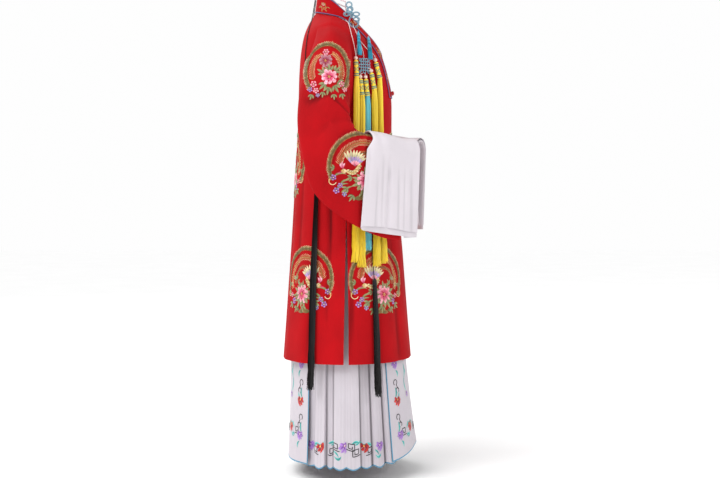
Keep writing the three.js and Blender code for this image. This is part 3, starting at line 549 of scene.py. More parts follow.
def sleeve_point(side, section, turn):
    """A point of the sleeve; turn is 0 on top of the arm, 90 outside and 180 at the hanging edge."""
    section, turn = np.broadcast_arrays(np.asarray(section, float), np.asarray(turn, float))

    def place(name):
        return point(*(along(SLEEVE, name + axis, section - 1) for axis in "XYZ"))

    centre = point(*(along(SLEEVE, name, section - 1) for name in ("cx", "cy", "cz")))
    c, s = np.cos(np.radians(turn))[..., None], np.sin(np.radians(turn))[..., None]
    flat = along(SLEEVE, "flat", section - 1)[..., None]
    thin = np.where(c < 0, 1 - flat * smooth(np.abs(c) * 1.25), 1)
    p = centre + (np.where(c > 0, place("top"), place("hang")) - centre) * np.abs(c)
    p = p + (np.where(s > 0, place("out"), place("near")) - centre) * np.abs(s) * thin
    p = p + unit(p - centre) * elbow_fold(section, turn)[..., None]
    shift = arm_shift(side, section)
    return point(p[..., 0] * side, p[..., 1] + LEFT_FORWARD * shift,
                 p[..., 2] + LEFT_UP * shift - SHOULDER_HEIGHT)


cuff = sleeve_point(1, CUFF, 0) - sleeve_point(1, CUFF, 180)
print("cuff:", round(float(np.linalg.norm(cuff))), "mm deep")


# %% Set the sleeves into the armholes
ARM_FINE = 32              # points along each side of the armhole


def armhole():
    turns = np.linspace(ARMHOLE_FRONT, ARMHOLE_BACK, ARM_FINE + 1)
    rows = np.linspace(ARMHOLE_TOP, ARMHOLE_BOTTOM, ARM_FINE + 1)
    return np.concatenate([torso(turns[:-1], ARMHOLE_TOP), torso(ARMHOLE_BACK, rows[:-1]),
                           torso(turns[:0:-1], ARMHOLE_BOTTOM), torso(ARMHOLE_FRONT, rows[:0:-1])])


def relax(grid, last, rounds=40):
    """Eases the cloth around the armhole, so that the seam's corners don't show as ridges."""
    ease = (0.5 * smooth((last - np.arange(1, len(grid) - 1)) / 6))[:, None, None]
    for _ in range(rounds):
        beside = (np.roll(grid, 1, axis=1) + np.roll(grid, -1, axis=1)) / 2
        along_it = (grid[:-2] + grid[2:]) / 2
        grid[1:-1] = mix(grid[1:-1], (beside[1:-1] + along_it) / 2, ease)
    return grid


def sleeve(side, hand):
    turns = np.linspace(45, 405, 4 * ARM_FINE, endpoint=False) % 360
    hole = armhole() * mirror(side)
    first = sleeve_point(side, 1.0, turns)
    joining = [mix(hole, first, t) for t in np.linspace(0.003, 1, 8, endpoint=False)]
    sections = spaced(1, (3.5, 20), (6.5, 45), (CUFF, 24))
    grid = relax(np.array(joining + [sleeve_point(side, s, turns) for s in sections]), len(joining) + 8)
    return cloth(f"sleeve_cloth_{hand}", grid, ROBE_WALL, [RED, RED_INSIDE], wrap=True, out=side)


for hand, side in HANDS:
    arm = dress(sleeve(side, hand), [f"sleeve_{hand}"])

# %% [markdown]
# ## The water sleeves
# A water sleeve is a length of thin white silk sewn inside the cuff. When it isn't in play the performer
# folds it back over the wrist. Its lower edge is left open, so the folded layers hang as flaps. We
# follow the silk along its path: out past the hand, back over the red sleeve, and forward again.

# %% The silk's path
WATER = table("section off drop crease",
              [10.03, -0.4, 729, 0], [10.40, -0.2, 729, 0], [10.64, 0.6, 729, 0], [10.75, 2.8, 729, 0],
              [10.68, 5.4, 729, 0], [10.42, 6.4, 730, 0], [9.60, 6.6, 735, 0], [8.60, 6.6, 741, 1],
              [7.20, 6.8, 752, 0], [6.98, 7.8, 758, 0], [6.92, 10.2, 762, 0], [6.99, 12.4, 765, 0],
              [7.25, 13.2, 765, 0], [8.20, 13.6, 762, 0], [8.48, 13.6, 760, 5], [8.80, 13.6, 758, 0],
              [9.70, 13.4, 751, 0], [10.72, 13.0, 743, 0])
WATER_END, PAST_CUFF, FLAP_HALF, NEAR_FLAP_UP = 176, 62, 10, 14
SILK_WALL = 1.0
# Soft hanging folds of the outer layer, which only sink in: where, half width, depth.
SILK_FOLDS = ((7.62, 0.1, 1.3), (7.98, 0.09, 1.0), (9.15, 0.14, 1.5), (9.62, 0.1, 1.1),
              (10.2, 0.13, 1.3))
OUTER_LAYER = 11.5         # from this row on, the silk is the layer that shows


def silk_point(side, at, turn):
    """A point of the silk: it rests on the arm up to 90 degrees each way and hangs straight from there."""
    at, turn = np.broadcast_arrays(np.asarray(at, float), np.asarray(turn, float))
    section, off, drop, crease = (along(WATER, name, at) for name in ("section", "off", "drop", "crease"))
    # Over the top of the arm, the fold that was turned back reaches further up the sleeve.
    section = section - 0.42 * smooth((62 - np.abs(turn)) / 50) * bell((section - 6.95) / 1.1)
    inside = np.minimum(section, CUFF)
    lean = np.sign(turn)
    wide_x, wide_y = (along(SLEEVE, "out" + axis, inside - 1) - along(SLEEVE, "near" + axis, inside - 1)
                      for axis in "XY")
    outward = unit(point(wide_x * side, wide_y, 0))
    ahead = sleeve_point(side, CUFF, 90) - sleeve_point(side, CUFF - 1, 90)
    ahead = unit(ahead * np.array([1, 1, 0]))
    upper = np.clip(turn, -90, 90)
    p = sleeve_point(side, inside, upper)
    p = p + outward * (off * np.sin(np.radians(upper)))[..., None]
    p = p + point(0, 0, off * np.cos(np.radians(upper)))
    down = np.clip((np.abs(turn) - 90) / (WATER_END - 90), 0, None)
    middle = (sleeve_point(side, inside, 90) + sleeve_point(side, inside, -90)) / 2
    lag = ((sleeve_point(side, inside, 180) - middle) * outward).sum(-1)
    edge = middle + outward * (lag + lean * (FLAP_HALF + off * 0.95))[..., None]
    edge[..., 2] = drop + LEFT_UP * arm_shift(side, inside) + NEAR_FLAP_UP * (lean < 0) - SHOULDER_HEIGHT
    ripple = sum(depth * bell((section - fold - 0.15 * down) / width) for fold, width, depth in SILK_FOLDS)
    ripple = ripple * (at > OUTER_LAYER) * smooth(down * 2.2)
    hanging = mix(p, edge, down[..., None])
    hanging = hanging - outward * (lean * (crease * smooth(down * 3) + ripple))[..., None]
    p = np.where((np.abs(turn) > 90)[..., None], hanging, p)
    return p + ahead * ((section - inside) * PAST_CUFF)[..., None]


def water_sleeve(side, hand):
    turns = spaced(-WATER_END, (-90, 22), (90, 36), (WATER_END, 22))
    at = spaced(0, (6, 30), (8, 12), (12, 32), (17, 60))
    at, turns = np.meshgrid(at, turns, indexing="ij")
    grid = silk_point(side, at, turns)
    return cloth(f"water_silk_{hand}", grid, SILK_WALL, [WATER_SILK, WATER_SILK], out=side)


for hand, side in HANDS:
    silk = dress(water_sleeve(side, hand), [f"water_sleeve_{hand}"])

# %% [markdown]
# ## The collar
# A long straight band edges the opening: it stands round the neck and lies flat on the chest. The band
# is stiffened, piped along both edges and embroidered. A thin white under-collar keeps its edge clean.

# %% The band's stations
NECK_BAND = table("turn row x y z",
                  [180, 0, 0.3, 88, 1466], [152, 0, 22, 85, 1465], [126, 0, 44, 71, 1461],
                  [98, 0, 58, 44, 1446], [80, 0.03, 57, 19, 1424], [66, 0.14, 49, -10, 1397],
                  [54, 0.34, 33, -44, 1364], [42, 0.64, 16, -78, 1328], [31, 1, 4.6, -100, 1296])
CHEST_BAND = ((59, 1264, 1272), (59, 1240, 1247), (58, 1212, 1216), (58, 1182, 1184), (57, 1152, 1152))
BAND_INNER, BAND_LIFT, BAND_WALL, BAND_SWELL = 3, 0.9, 1.8, 12
BAND_COLUMNS = 6           # strips across the band, between the points that a station gives
SWELL_FROM = 4             # the first station where the band rolls over the collarbone
NECK_STATIONS = len(NECK_BAND["x"])
STATIONS = NECK_STATIONS + len(CHEST_BAND)


def row_at_height(turn_at, height):
    """Halves the gap between two rows until the robe has the wanted height there."""
    above, below = 0.0, float(HEM)
    for _ in range(24):
        row = (above + below) / 2
        if torso(turn_at(row), row)[2] > height - SHOULDER_HEIGHT:
            above = row
        else:
            below = row
    return (above + below) / 2


def chest_at(x, height):
    """The robe's point and outward direction on the chest, at a distance from the middle."""
    def turn_at(row):
        return math.degrees(math.asin(min(max(x / float(along(TORSO, "side", row)), 0), 1)))

    row = row_at_height(turn_at, height)
    return torso(turn_at(row), row), torso_normal(turn_at(row), row)


def flank_at(y, height):
    """The same on the left flank, at a place from front to back."""
    def turn_at(row):
        middle = float(along(TORSO, "middle", row))
        reach = float(along(TORSO, "front" if y < middle else "back", row))
        turn = math.degrees(math.acos(min(max((y - middle) / (reach - middle), 0), 0.9999)))
        return turn if y < middle else 180 - turn

    row = row_at_height(turn_at, height)
    p, normal = torso(turn_at(row), row), torso_normal(turn_at(row), row)
    if row > HEM - 0.001:
        p[2] = height - SHOULDER_HEIGHT
    return p, normal


def band_station(at):
    """The band's points from its seam to its free edge, at one station from nape to foot."""
    top = BAND_LIFT + BAND_WALL
    across = np.linspace(0, 1, BAND_COLUMNS + 1)[:, None]
    if at < NECK_STATIONS:
        turn, row, x, y, z = (NECK_BAND[name][at] for name in ("turn", "row", "x", "y", "z"))
        free = pin(x, y, z)
        away = unit(np.array([free[0], free[1] - TORSO["middle"][0], 0]))
        seam = torso(turn, row) + torso_normal(turn, row) * top
        p = mix(seam, free + away * top, across)
        if at >= SWELL_FROM:
            p = p + unit(np.array([away[0], away[1], 0.5])) * BAND_SWELL * across * (1 - across)
        if at == 0:
            p[:, 0] = 0.7
        return p
    x, outer, inner = CHEST_BAND[at - NECK_STATIONS]
    places = (chest_at(mix(x, BAND_INNER, t), mix(outer, inner, t)) for t in across[:, 0])
    return np.array([p + normal * top for p, normal in places])


BAND = np.array([band_station(at) for at in range(STATIONS)])


def band_at(across, at):
    """A point of the left band. across runs 0 to 1 from the seam to the free edge, at is a station."""
    across, at = np.broadcast_arrays(np.asarray(across, float), np.asarray(at, float))
    column = np.clip(across, 0, 1) * BAND_COLUMNS
    i = np.minimum(column.astype(int), BAND_COLUMNS - 1)
    f = (column - i)[..., None]
    last = STATIONS - 1
    t = np.clip(at, 0, last)
    k = np.minimum(t.astype(int), last - 1)
    near = (np.clip(k + n, 0, last) for n in (-1, 0, 1, 2))
    return cubic(*(mix(BAND[n, i], BAND[n, i + 1], f) for n in near), (t - k)[..., None])


band_middle = band_at(0.5, np.linspace(0, STATIONS - 1, 60))
print("band:", round(float(travelled(band_middle)[-1])), "mm from nape to foot")


# %% Round cords
def two_across(ahead):
    """Two directions square to a line that runs ahead, to draw its round section with."""
    helper = np.where(np.abs(ahead[:, 2:3]) > 0.9, np.array([[1.0, 0, 0]]), np.array([[0, 0, 1.0]]))
    wide = unit(np.cross(ahead, helper))
    return wide, np.cross(wide, ahead)


def tube(line, radius, sides=8, closed=False):
    """A round form through a line of points, with flat ends; radius may change along it."""
    line = np.asarray(line, float)
    step = np.roll(line, -1, axis=0) - np.roll(line, 1, axis=0) if closed else np.gradient(line, axis=0)
    wide, thin = two_across(unit(step))
    angle = full_turn(sides)[None, :, None]
    radius = np.broadcast_to(np.asarray(radius, float), (len(line),))[:, None, None]
    rings = line[:, None] + radius * (wide[:, None] * np.cos(angle) + thin[:, None] * np.sin(angle))
    count = len(line)
    last = count if closed else count - 1
    faces = [(k * sides + s, k * sides + (s + 1) % sides, (k + 1) % count * sides + (s + 1) % sides,
              (k + 1) % count * sides + s) for k in range(last) for s in range(sides)]
    if not closed:
        faces += [tuple(range(sides))[::-1], tuple((count - 1) * sides + s for s in range(sides))]
    return rings.reshape(-1, 3), faces


def joined(parts):
    """Several (points, faces) as one."""
    points, faces, start = [], [], 0
    for p, f in parts:
        points.append(p)
        faces += [tuple(v + start for v in face) for face in f]
        start += len(p)
    return np.concatenate(points), faces


def one_colour(name, parts, finish, colour, sharp=None):
    """One piece from several (points, faces), all dyed alike."""
    points, faces = joined(parts)
    tint = np.broadcast_to(np.array(linear(colour)), (len(points), 4))
    return mesh_piece(name, points, faces, [finish], colours=tint, sharp=sharp)


print("a short cord:", len(tube([[0, 0, 0], [0, 0, 9]], 1)[1]), "faces")

# %% Lay the collar band
PIPE, PIPE_INSET = 1.5, 1.2             # radius of the piping, and how far in from the edge it is sewn
BAND_FINE = 13                          # points across the band's cloth
BAND_STOPS = np.linspace(0, STATIONS - 1, 105)


def collar(side, hand):
    across, at = np.meshgrid(np.linspace(1, 0, BAND_FINE), BAND_STOPS, indexing="ij")
    return cloth(f"collar_band_{hand}", band_at(across, at) * mirror(side), BAND_WALL, [RED, RED_INSIDE],
                 out=-side)


def collar_piping(side, hand):
    """A fine silk cord down the free edge, across the foot and up the seam."""
    foot = np.array([band_at(a, STATIONS - 1) for a in np.linspace(1, 0, BAND_FINE)])
    edge = np.concatenate([band_at(1, BAND_STOPS), foot, band_at(0, BAND_STOPS[::-1])]) * mirror(side)
    at = np.concatenate([BAND_STOPS, np.full(BAND_FINE, STATIONS - 1), BAND_STOPS[::-1]])
    edge = edge - unit(edge - band_at(0.5, at) * mirror(side)) * PIPE_INSET
    keep = np.concatenate([[True], np.linalg.norm(np.diff(edge, axis=0), axis=1) > 0.5])
    return one_colour(f"collar_piping_{hand}", [tube(edge[keep], PIPE)], PIPING, (104, 96, 160), 60)


for hand, side in HANDS:
    band = dress(collar(side, hand), [f"collar_{hand}"])
    piping = dress(collar_piping(side, hand), [])

# %% The white under-collar
UNDER_STATIONS, UNDER_RISE, UNDER_GAP = 7, 0.36, 1.8


def under_half(across):
    """One row of the under-collar, from the nape to its left end, just inside the band."""
    at = np.linspace(0, UNDER_STATIONS - 1, 37)
    p = band_at(across, at)
    away = unit((p - point(0, TORSO["middle"][0], 0)) * np.array([1, 1, 0]))
    p = p - away * (BAND_WALL + UNDER_GAP)
    p[0, 0] = 0
    return p


def under_collar():
    rows = [under_half(a) for a in np.linspace(1, 1 / 3, 9)]
    grid = np.array([np.concatenate([row[:0:-1], row * mirror(-1)]) for row in rows])
    step = grid[0] - grid[4]
    top = [grid[0] + step * UNDER_RISE * t for t in (1, 0.66, 0.33)]
    return cloth("neck_lining", np.array(top + list(grid)), SILK_WALL, [WATER_SILK, WATER_SILK])


liner = dress(under_collar(), ["under_collar"])

# %% [markdown]
# ## The skirt
# The skirt is two flat panels, front and back, joined by pleated gores at the sides, all on one
# waistband. The pleats are knife pleats: each one folds back under the next, so seen from outside the
# cloth steps. Its edges are bound in blue, which we mark as a separate finish on the last few
# millimetres of the cloth.

# %% The skirt's rings
SKIRT = table("zFront zSide zBack front back side",
              [1000, 1004, 1006, -98, 104, 116], [900, 902, 904, -112, 122, 132],
              [760, 760, 760, -132, 140, 158], [600, 600, 600, -154, 156, 184],
              [345, 345, 345, -181, 172, 218], [190, 180, 180, -199, 177, 234], [88, 50, 47, -214, 182, 247])
SKIRT_HEM = 6
PLEATS = ((39, -7), (54, 9), (54.7, -6), (66, 8), (66.7, -8), (78, -9), (78.7, 8), (90, 9), (102, 8),
          (102.7, -9), (111, -7), (111.7, 8), (122, 7), (122.7, -8), (141, -7))
PLEAT_BASE, PANEL_EDGE, PANEL_LIFT, WAIST_LIFT = 8, 50, 1.7, 4.4
SKIRT_WALL, WAISTBAND_WALL = 1.2, 2
BINDING = 0.055            # the bound edge, as a share of a row
SCALLOP = 8                # how far the hem of a pleat dips


def skirt_at(turn, row, offset):
    """A point of the skirt, offset outwards; it turns as the robe does."""
    turn, row = np.broadcast_arrays(np.asarray(turn, float), np.asarray(row, float))
    c, s, reach, side_z, end_z = ring_at(SKIRT, turn, row)
    return point((along(SKIRT, "side", row) + offset) * s, np.abs(c) * reach - offset * c,
                 side_z + (end_z - side_z) * c ** 4 - SHOULDER_HEIGHT)


PLEAT_TURNS = np.array([turn for turn, _ in PLEATS])
PLEAT_RISES = np.array([rise for _, rise in PLEATS], float)


def pleat_point(turn, row):
    """The pleated gore: between two folds the cloth bows a little, and its hem dips."""
    rise = np.interp(turn, PLEAT_TURNS, PLEAT_RISES)
    k = np.clip(np.searchsorted(PLEAT_TURNS, turn, side="right") - 1, 0, len(PLEAT_TURNS) - 2)
    width = PLEAT_TURNS[k + 1] - PLEAT_TURNS[k]
    t = (turn - PLEAT_TURNS[k]) / width
    wide = width > 2
    bow = np.where(wide, 1.6 * np.sin(np.pi * t) + 0.5 * np.sin(3 * np.pi * t + turn), 0)
    depth = (rise - PLEAT_BASE) * mix(0.02, 1, row / SKIRT_HEM) + bow * smooth((row - 1) / 4)
    p = skirt_at(turn, row, depth)
    p[..., 2] -= np.where(wide, SCALLOP * np.sin(np.pi * t), 0) * smooth((row - 4.2) / 1.8)
    return p


def panel_point(turn, row):
    """A flat panel: one wide length of cloth with three or four lazy folds near the hem."""
    wave = 1.3 * np.sin(np.radians(turn) * 9 + 0.6) * smooth((row - 2.5) / 3.5)
    return skirt_at(turn, row, PANEL_LIFT + np.minimum(wave, 0.6))


print("pleats:", len(PLEATS) // 2, "folds on each side")


# %% Sew the skirt
SKIRT_ROWS = np.append(spaced(0.1, (3, 23), (SKIRT_HEM - BINDING, 43)), [SKIRT_HEM - BINDING / 2, SKIRT_HEM])


def edge_rows(rows, columns, sides=()):
    bound = np.zeros((rows - 1, columns - 1), bool)
    bound[-2:] = True
    for column in sides:
        bound[:, column] = True
    return bound


def skirt_panel(name, middle):
    edge = 0.9              # the bound side edge, in degrees
    turns = np.concatenate([[middle - PANEL_EDGE, middle - PANEL_EDGE + edge],
                            np.linspace(middle - PANEL_EDGE + 2, middle + PANEL_EDGE - 2, 59),
                            [middle + PANEL_EDGE - edge, middle + PANEL_EDGE]])
    row, turn = np.meshgrid(SKIRT_ROWS, turns, indexing="ij")
    return cloth(name, panel_point(turn, row), SKIRT_WALL, [SKIRT_SILK, SKIRT_SILK, HEM_BLUE],
                 bound=edge_rows(len(SKIRT_ROWS), len(turns), (0, -1)))


def skirt_gore(side, hand):
    turns = []
    for a, b in zip(PLEAT_TURNS[:-1], PLEAT_TURNS[1:]):
        turns += list(np.linspace(a, b, 3 if b - a < 2 else 13)[:-1])
    turns = np.array(turns + [PLEAT_TURNS[-1]])
    row, turn = np.meshgrid(SKIRT_ROWS, turns, indexing="ij")
    grid = pleat_point(turn, row) * mirror(side)
    return cloth(f"pleated_gore_{hand}", grid, SKIRT_WALL, [SKIRT_SILK, SKIRT_SILK, HEM_BLUE], out=side,
                 bound=edge_rows(len(SKIRT_ROWS), len(turns)))


def waistband():
    turns = np.linspace(0, 360, 120, endpoint=False)
    row, turn = np.meshgrid(np.linspace(0, 0.42, 9), turns, indexing="ij")
    return cloth("skirt_band", skirt_at(turn, row, WAIST_LIFT), WAISTBAND_WALL, [SKIRT_SILK, SKIRT_SILK],
                 wrap=True)


belt = dress(waistband(), ["skirt_waistband"])
for name, node, middle in (("front_skirt_panel", "skirt_front_panel", 0),
                           ("back_skirt_panel", "skirt_back_panel", 180)):
    panel = dress(skirt_panel(name, middle), [node])
for hand, side in HANDS:
    gore = dress(skirt_gore(side, hand), [f"skirt_pleats_{hand}"])

# %% [markdown]
# ## The knotted button
# The band's ends meet at a button knotted from the same red cord, with a flat loop of cord sewn down on
# each side. A ball knot is a cord that weaves over and under itself round a sphere; we draw that weave
# as one closed curve whose height above the ball rises and falls at each crossing.

# %% Tie the button
BUTTON_Z, BUTTON_BALL, BUTTON_REACH = 1166, 6, 26
BUTTON_RED = (186, 30, 32)


def ball_knot(centre, radius, cord, turns=3, lobes=4):
    t = full_turn(160)
    tilt = 1.15 * np.sin(lobes * t)
    lift = radius - cord + 0.55 * cord * np.cos(2 * lobes * t)
    ball = point(np.cos(turns * t) * np.cos(tilt), np.sin(tilt), np.sin(turns * t) * np.cos(tilt))
    return tube(centre + ball * lift[:, None], cord, 7, closed=True)


def frog_button():
    lay = BAND_LIFT + BAND_WALL + 1.2
    parts = []
    for side in (-1, 1):
        for rise in (-1.5, 1.5):
            line = []
            for x in np.linspace(2, BUTTON_REACH, 13):
                p, normal = chest_at(x, BUTTON_Z)
                spread = rise * (1 + math.sin(math.pi * x / BUTTON_REACH))
                line.append((p + normal * lay) * mirror(side) + [0, 0, spread])
            parts.append(tube(line, 1.3))
    p, normal = chest_at(0.01, BUTTON_Z)
    parts.append(ball_knot(p + normal * (lay + 3), BUTTON_BALL, 1.9))
    return one_colour("knot_button", parts, CORD_SILK, BUTTON_RED)


dress(frog_button(), ["frog_button"])

# %% [markdown]
# ## Cords and knots
# A long cord hangs round the neck. On each breast it is tied in an ornamental knot, from which finer
# white cords cross and run down to a woven square knot and to the beads of the tassels. A knot reads as
# a knot when the cord visibly passes over and under itself, so every crossing here is modelled.

# %% Lines that lie on the robe
NECK_CORD, CORD, KNOT_X = 2.5, 1.4, 70
CORD_WHITE, KNOT_BLUE = (232, 212, 212), (126, 164, 182)


def curve_through(points, count):
    """A smooth line through given points."""
    rows = {axis: np.array(points, float)[:, i] for i, axis in enumerate("xyz")}
    at = np.linspace(0, len(points) - 1, count)
    return point(*(along(rows, axis, at) for axis in "xyz"))


def off_cloth(side, y, height, off):
    p, normal = flank_at(y, height)
    return (p + normal * off) * mirror(side)


def plaited(line, radius, sides=6, pitch=9):
    """A cord twisted from two plies; pitch is the length of one twist."""
    wide, thin = two_across(unit(np.gradient(line, axis=0)))
    plies = []
    for start in (0, np.pi):
        angle = (2 * np.pi * travelled(line) / pitch + start)[:, None]
        plies.append(tube(line + 0.5 * radius * (wide * np.cos(angle) + thin * np.sin(angle)),
                          radius * 0.56, sides))
    return joined(plies)


print("5 mm off the flank:", [round(float(v)) for v in off_cloth(1, -50, 1240, 5)], "mm")


# %% The cord round the neck
def neck_cord():
    half = []
    for at in range(4):
        p = BAND[at][-1].copy()
        away = unit(np.array([p[0], p[1] - TORSO["middle"][0], 0]))
        half.append(p + away * 1.3 + [0, 0, NECK_CORD + 0.5])
    half[0][0] = 0
    left = half + [pin(65, 30, 1451), pin(69, 14, 1445), pin(KNOT_X, 4, 1441)]
    line = curve_through([p * mirror(-1) for p in left[:0:-1]] + left, 260)
    print("neck cord:", round(float(travelled(line)[-1])), "mm long")
    return one_colour("neck_cord_twist", [plaited(line, NECK_CORD)], CORD_SILK, CORD_WHITE)


dress(neck_cord(), ["neck_cord"])


# %% The ornamental knots
# Each loop's middle from front to back and height, then its half width and half height.
KNOT_LOOPS = ((-7, 1431, 9, 9), (-11, 1418, 8, 8), (1, 1403, 8, 6), (-29, 1403, 10, 6.5),
              (-22, 1380.5, 15, 19))
KNOT_HEART = (-13, 1405)
SQUARE_KNOT = dict(y=-51.5, z=1240, half=15.5, rest=1.2)
SQUARE_TALL, WEAVE_STEP = 1.2, 1.15     # height and pitch up the knot, beside its width and pitch across


def upper_knot(side):
    """Five loops of doubled cord round a woven heart, in an upright plane, kept clear of the cloth."""
    parts = []
    for index, (y, z, wide, tall) in enumerate(KNOT_LOOPS):
        t = full_turn(48)
        for inset in (0.6, -1.9):
            lift = 0.9 * np.sin(3 * t + index + inset)
            ys, heights = y + (wide + inset) * np.cos(t), z + (tall + inset) * np.sin(t)
            clear = [abs(flank_at(a, b)[0][0]) + 2.2 if b < 1400 else 0 for a, b in zip(ys, heights)]
            line = point(np.maximum(KNOT_X + lift, clear), ys, heights - SHOULDER_HEIGHT)
            parts.append(tube(line * mirror(side), 1.15, 7, closed=True))
    parts.append(ball_knot(pin(KNOT_X * side, *KNOT_HEART), 6.6, 1.3, 3, 5))
    return parts


def square_knot(side):
    """A woven square: four cords each way, joined by small loops along the edges."""
    size = SQUARE_KNOT["half"]
    p, normal = flank_at(SQUARE_KNOT["y"], SQUARE_KNOT["z"])
    centre = p + normal * (SQUARE_KNOT["rest"] + 2.4)
    right = unit(np.cross(np.array([0, 0, 1.0]), normal))
    up = np.cross(normal, right)
    spots = np.linspace(-0.72, 0.72, 4) * size
    pitch = spots[1] - spots[0]
    parts = []

    def lay_cord(u, v, radius, lift=0.0, closed=False):
        line = centre + right * u[:, None] + up * v[:, None] + normal * np.reshape(lift, (-1, 1))
        parts.append(tube(line, radius, 7, closed))

    for crosswise in (False, True):
        reach, widen, over = (size, WEAVE_STEP, -1.2) if crosswise else (size * SQUARE_TALL, 1, 1.2)
        t = np.linspace(-1, 1, 41)
        for k, spot in enumerate(spots):
            lift = over * np.cos(np.pi * (t * reach / pitch + 0.5 * k + 0.5 * crosswise))
            a, b = t * reach, np.full_like(t, spot * widen)
            lay_cord(*((a, b) if crosswise else (b, a)), 1.5, lift)
        t = np.linspace(0, np.pi, 13)
        half = pitch / 2 * widen
        for end in (-1, 1):
            for k in range(3):
                if k == 1 or (end > 0) != crosswise:
                    a = end * (reach + half * np.sin(t) * 0.9)
                    b = (spots[k] + spots[k + 1]) / 2 * widen + half * np.cos(t)
                    lay_cord(*((a, b) if crosswise else (b, a)), 1.4)
    t = full_turn(24)
    for a, b in ((-1, -1), (-1, 1), (1, -1), (1, 1)):
        lay_cord(a * size * 1.02 + 3 * np.cos(t), b * size * SQUARE_TALL + 3 * np.sin(t), 1.25, closed=True)
    return [(points * mirror(side), [face[::side] for face in faces]) for points, faces in parts]


for hand, side in HANDS:
    knots = one_colour(f"woven_knots_{hand}", upper_knot(side) + square_knot(side), CORD_SILK, KNOT_BLUE)
    dress(knots, [f"knotwork_{hand}"])

# %% [markdown]
# ## Tassels
# A silk tassel is hundreds of fine threads bound at a wrapped head. Thick strands would look like
# rope, so each thread here is its own thin tube. The threads spread from the head, wander a little on
# the way down and end at slightly different lengths, and each gets its own tone. Threads deep in the
# bundle also get painted shade: their colour is darker towards the middle.

# %% Where each tassel hangs
# Name, three places from front to back (bead, top and tip of the silk), heights of bead and tip.
TASSELS = (("outer", -28, -30.5, -27, 1262, 655), ("second", -41.5, -47, -45.5, 1207, 640),
           ("blue", -57, -63, -63, 1207, 690), ("fourth", -73.5, -83.5, -91, 1226, 642),
           ("inner", -86, -100, -111, 1260, 650))
BEAD, HEAD_LENGTH, HEAD_RADIUS, TASSEL_RADIUS, REST = 6, 50, 6.5, 8, 1
WAIST_PART = 0.36          # the share of its length down which a tassel hangs plumb
CORD_PATHS = (((-19, 1363), (-24, 1351), (-29, 1338), (-34, 1322), (-46, 1306), (-62, 1289), (-80, 1276)),
              ((-34, 1322), (-32, 1306), (-30, 1290), (-28.5, 1278)),
              ((-34, 1322), (-41, 1302), (-48, 1280), (-50, 1264), (-50, 1256)))
YELLOW, TEAL, SMALL_BLUE, BLACK = (255, 226, 66), (114, 210, 222), (44, 158, 186), (20, 17, 18)
HEAD_TRIM = (44, 128, 138)
THREADS, FEW_THREADS = 230, 130         # in a long tassel and in a small one


def clear_of(y, height, off):
    """How far out a line must hang to stay off the robe."""
    p, normal = flank_at(y, height)
    return abs(p[0]) + off / max(abs(normal[0]), 0.5)


def hang_line(side, ys, heights, off):
    """From the bead straight down, and from the waist outwards where the robe flares."""
    bead = clear_of(ys[0], heights[0], off)

    def need(t):
        return clear_of(mix(ys[1], ys[2], t), mix(heights[1], heights[2], t), off)

    top = max(bead, need(0))
    slope = max([(need(t) - top) / (t - WAIST_PART) for t in np.linspace(WAIST_PART + 0.05, 1, 11)] + [0])
    line = [pin(side * bead, ys[0], heights[0])]
    for t in (0, WAIST_PART, 1):
        out = top + slope * max(t - WAIST_PART, 0)
        line.append(pin(side * out, mix(ys[1], ys[2], t), mix(heights[1], heights[2], t)))
    return line


print("silk:", [bead - BEAD - HEAD_LENGTH - tip for _, _, _, _, bead, tip in TASSELS], "mm long")


# %% Spin the silk
def thread_bundle(line, radii, count, colour, seed, uneven=14, thick=0.55, segments=14, clump=0.25,
                  variety=0.14, wide=1.22, locks=11, fray=2.0):
    """Fine threads that run down a line; radii is the bundle's depth, and wide how flat it lies."""
    rng = np.random.default_rng(seed)
    line, radii = np.asarray(line, float), np.asarray(radii, float)
    length = travelled(line)
    parts, tints = [], []
    base = np.array(linear(colour))
    for k in range(count):
        angle = rng.integers(0, locks) * 2 * np.pi / locks + rng.normal(0, 0.2)
        far = math.sqrt(rng.uniform(0.05, 1))
        reach = length[-1] - abs(rng.normal(0, uneven)) * (0.4 + rng.uniform(0, 1))
        run = np.linspace(0, reach, segments)
        place = point(*(np.interp(run, length, line[:, i]) for i in range(3)))
        spread = np.interp(run, length, radii) - thick
        sway = clump * np.sin(run / rng.uniform(50, 110) + rng.uniform(0, 6)) * (run / length[-1])
        across = angle + sway
        place[:, 0] += 0.95 * spread * far * np.cos(across)
        place[:, 1] += wide * spread * far * np.sin(across)
        loose = fray * np.clip(run / length[-1] - 0.7, 0, 1) / 0.3
        place[:, 1] += loose * np.sin(run / rng.uniform(9, 16) + rng.uniform(0, 6))
        parts.append(tube(place, thick, 3))
        # Each thread gets a random tone, and painted shade that darkens the threads near the bundle's middle.
        tints.append(np.tile(base * rng.uniform(1 - variety, 1 + variety) * (0.78 + 0.26 * far),
                             (len(parts[-1][0]), 1)))
    points, faces = joined(parts)
    tints = np.concatenate(tints)
    tints[:, 3] = 1
    return points, faces, tints


def dyed(shape, colour):
    """Adds one colour to every point of a (points, faces) shape."""
    return *shape, np.tile(linear(colour), (len(shape[0]), 1))


def silk_piece(name, parts):
    """One piece from several (points, faces, colours)."""
    points, faces = joined([part[:2] for part in parts])
    return mesh_piece(name, points, faces, [TASSEL_SILK], colours=np.concatenate([part[2] for part in parts]),
                      sharp=70)


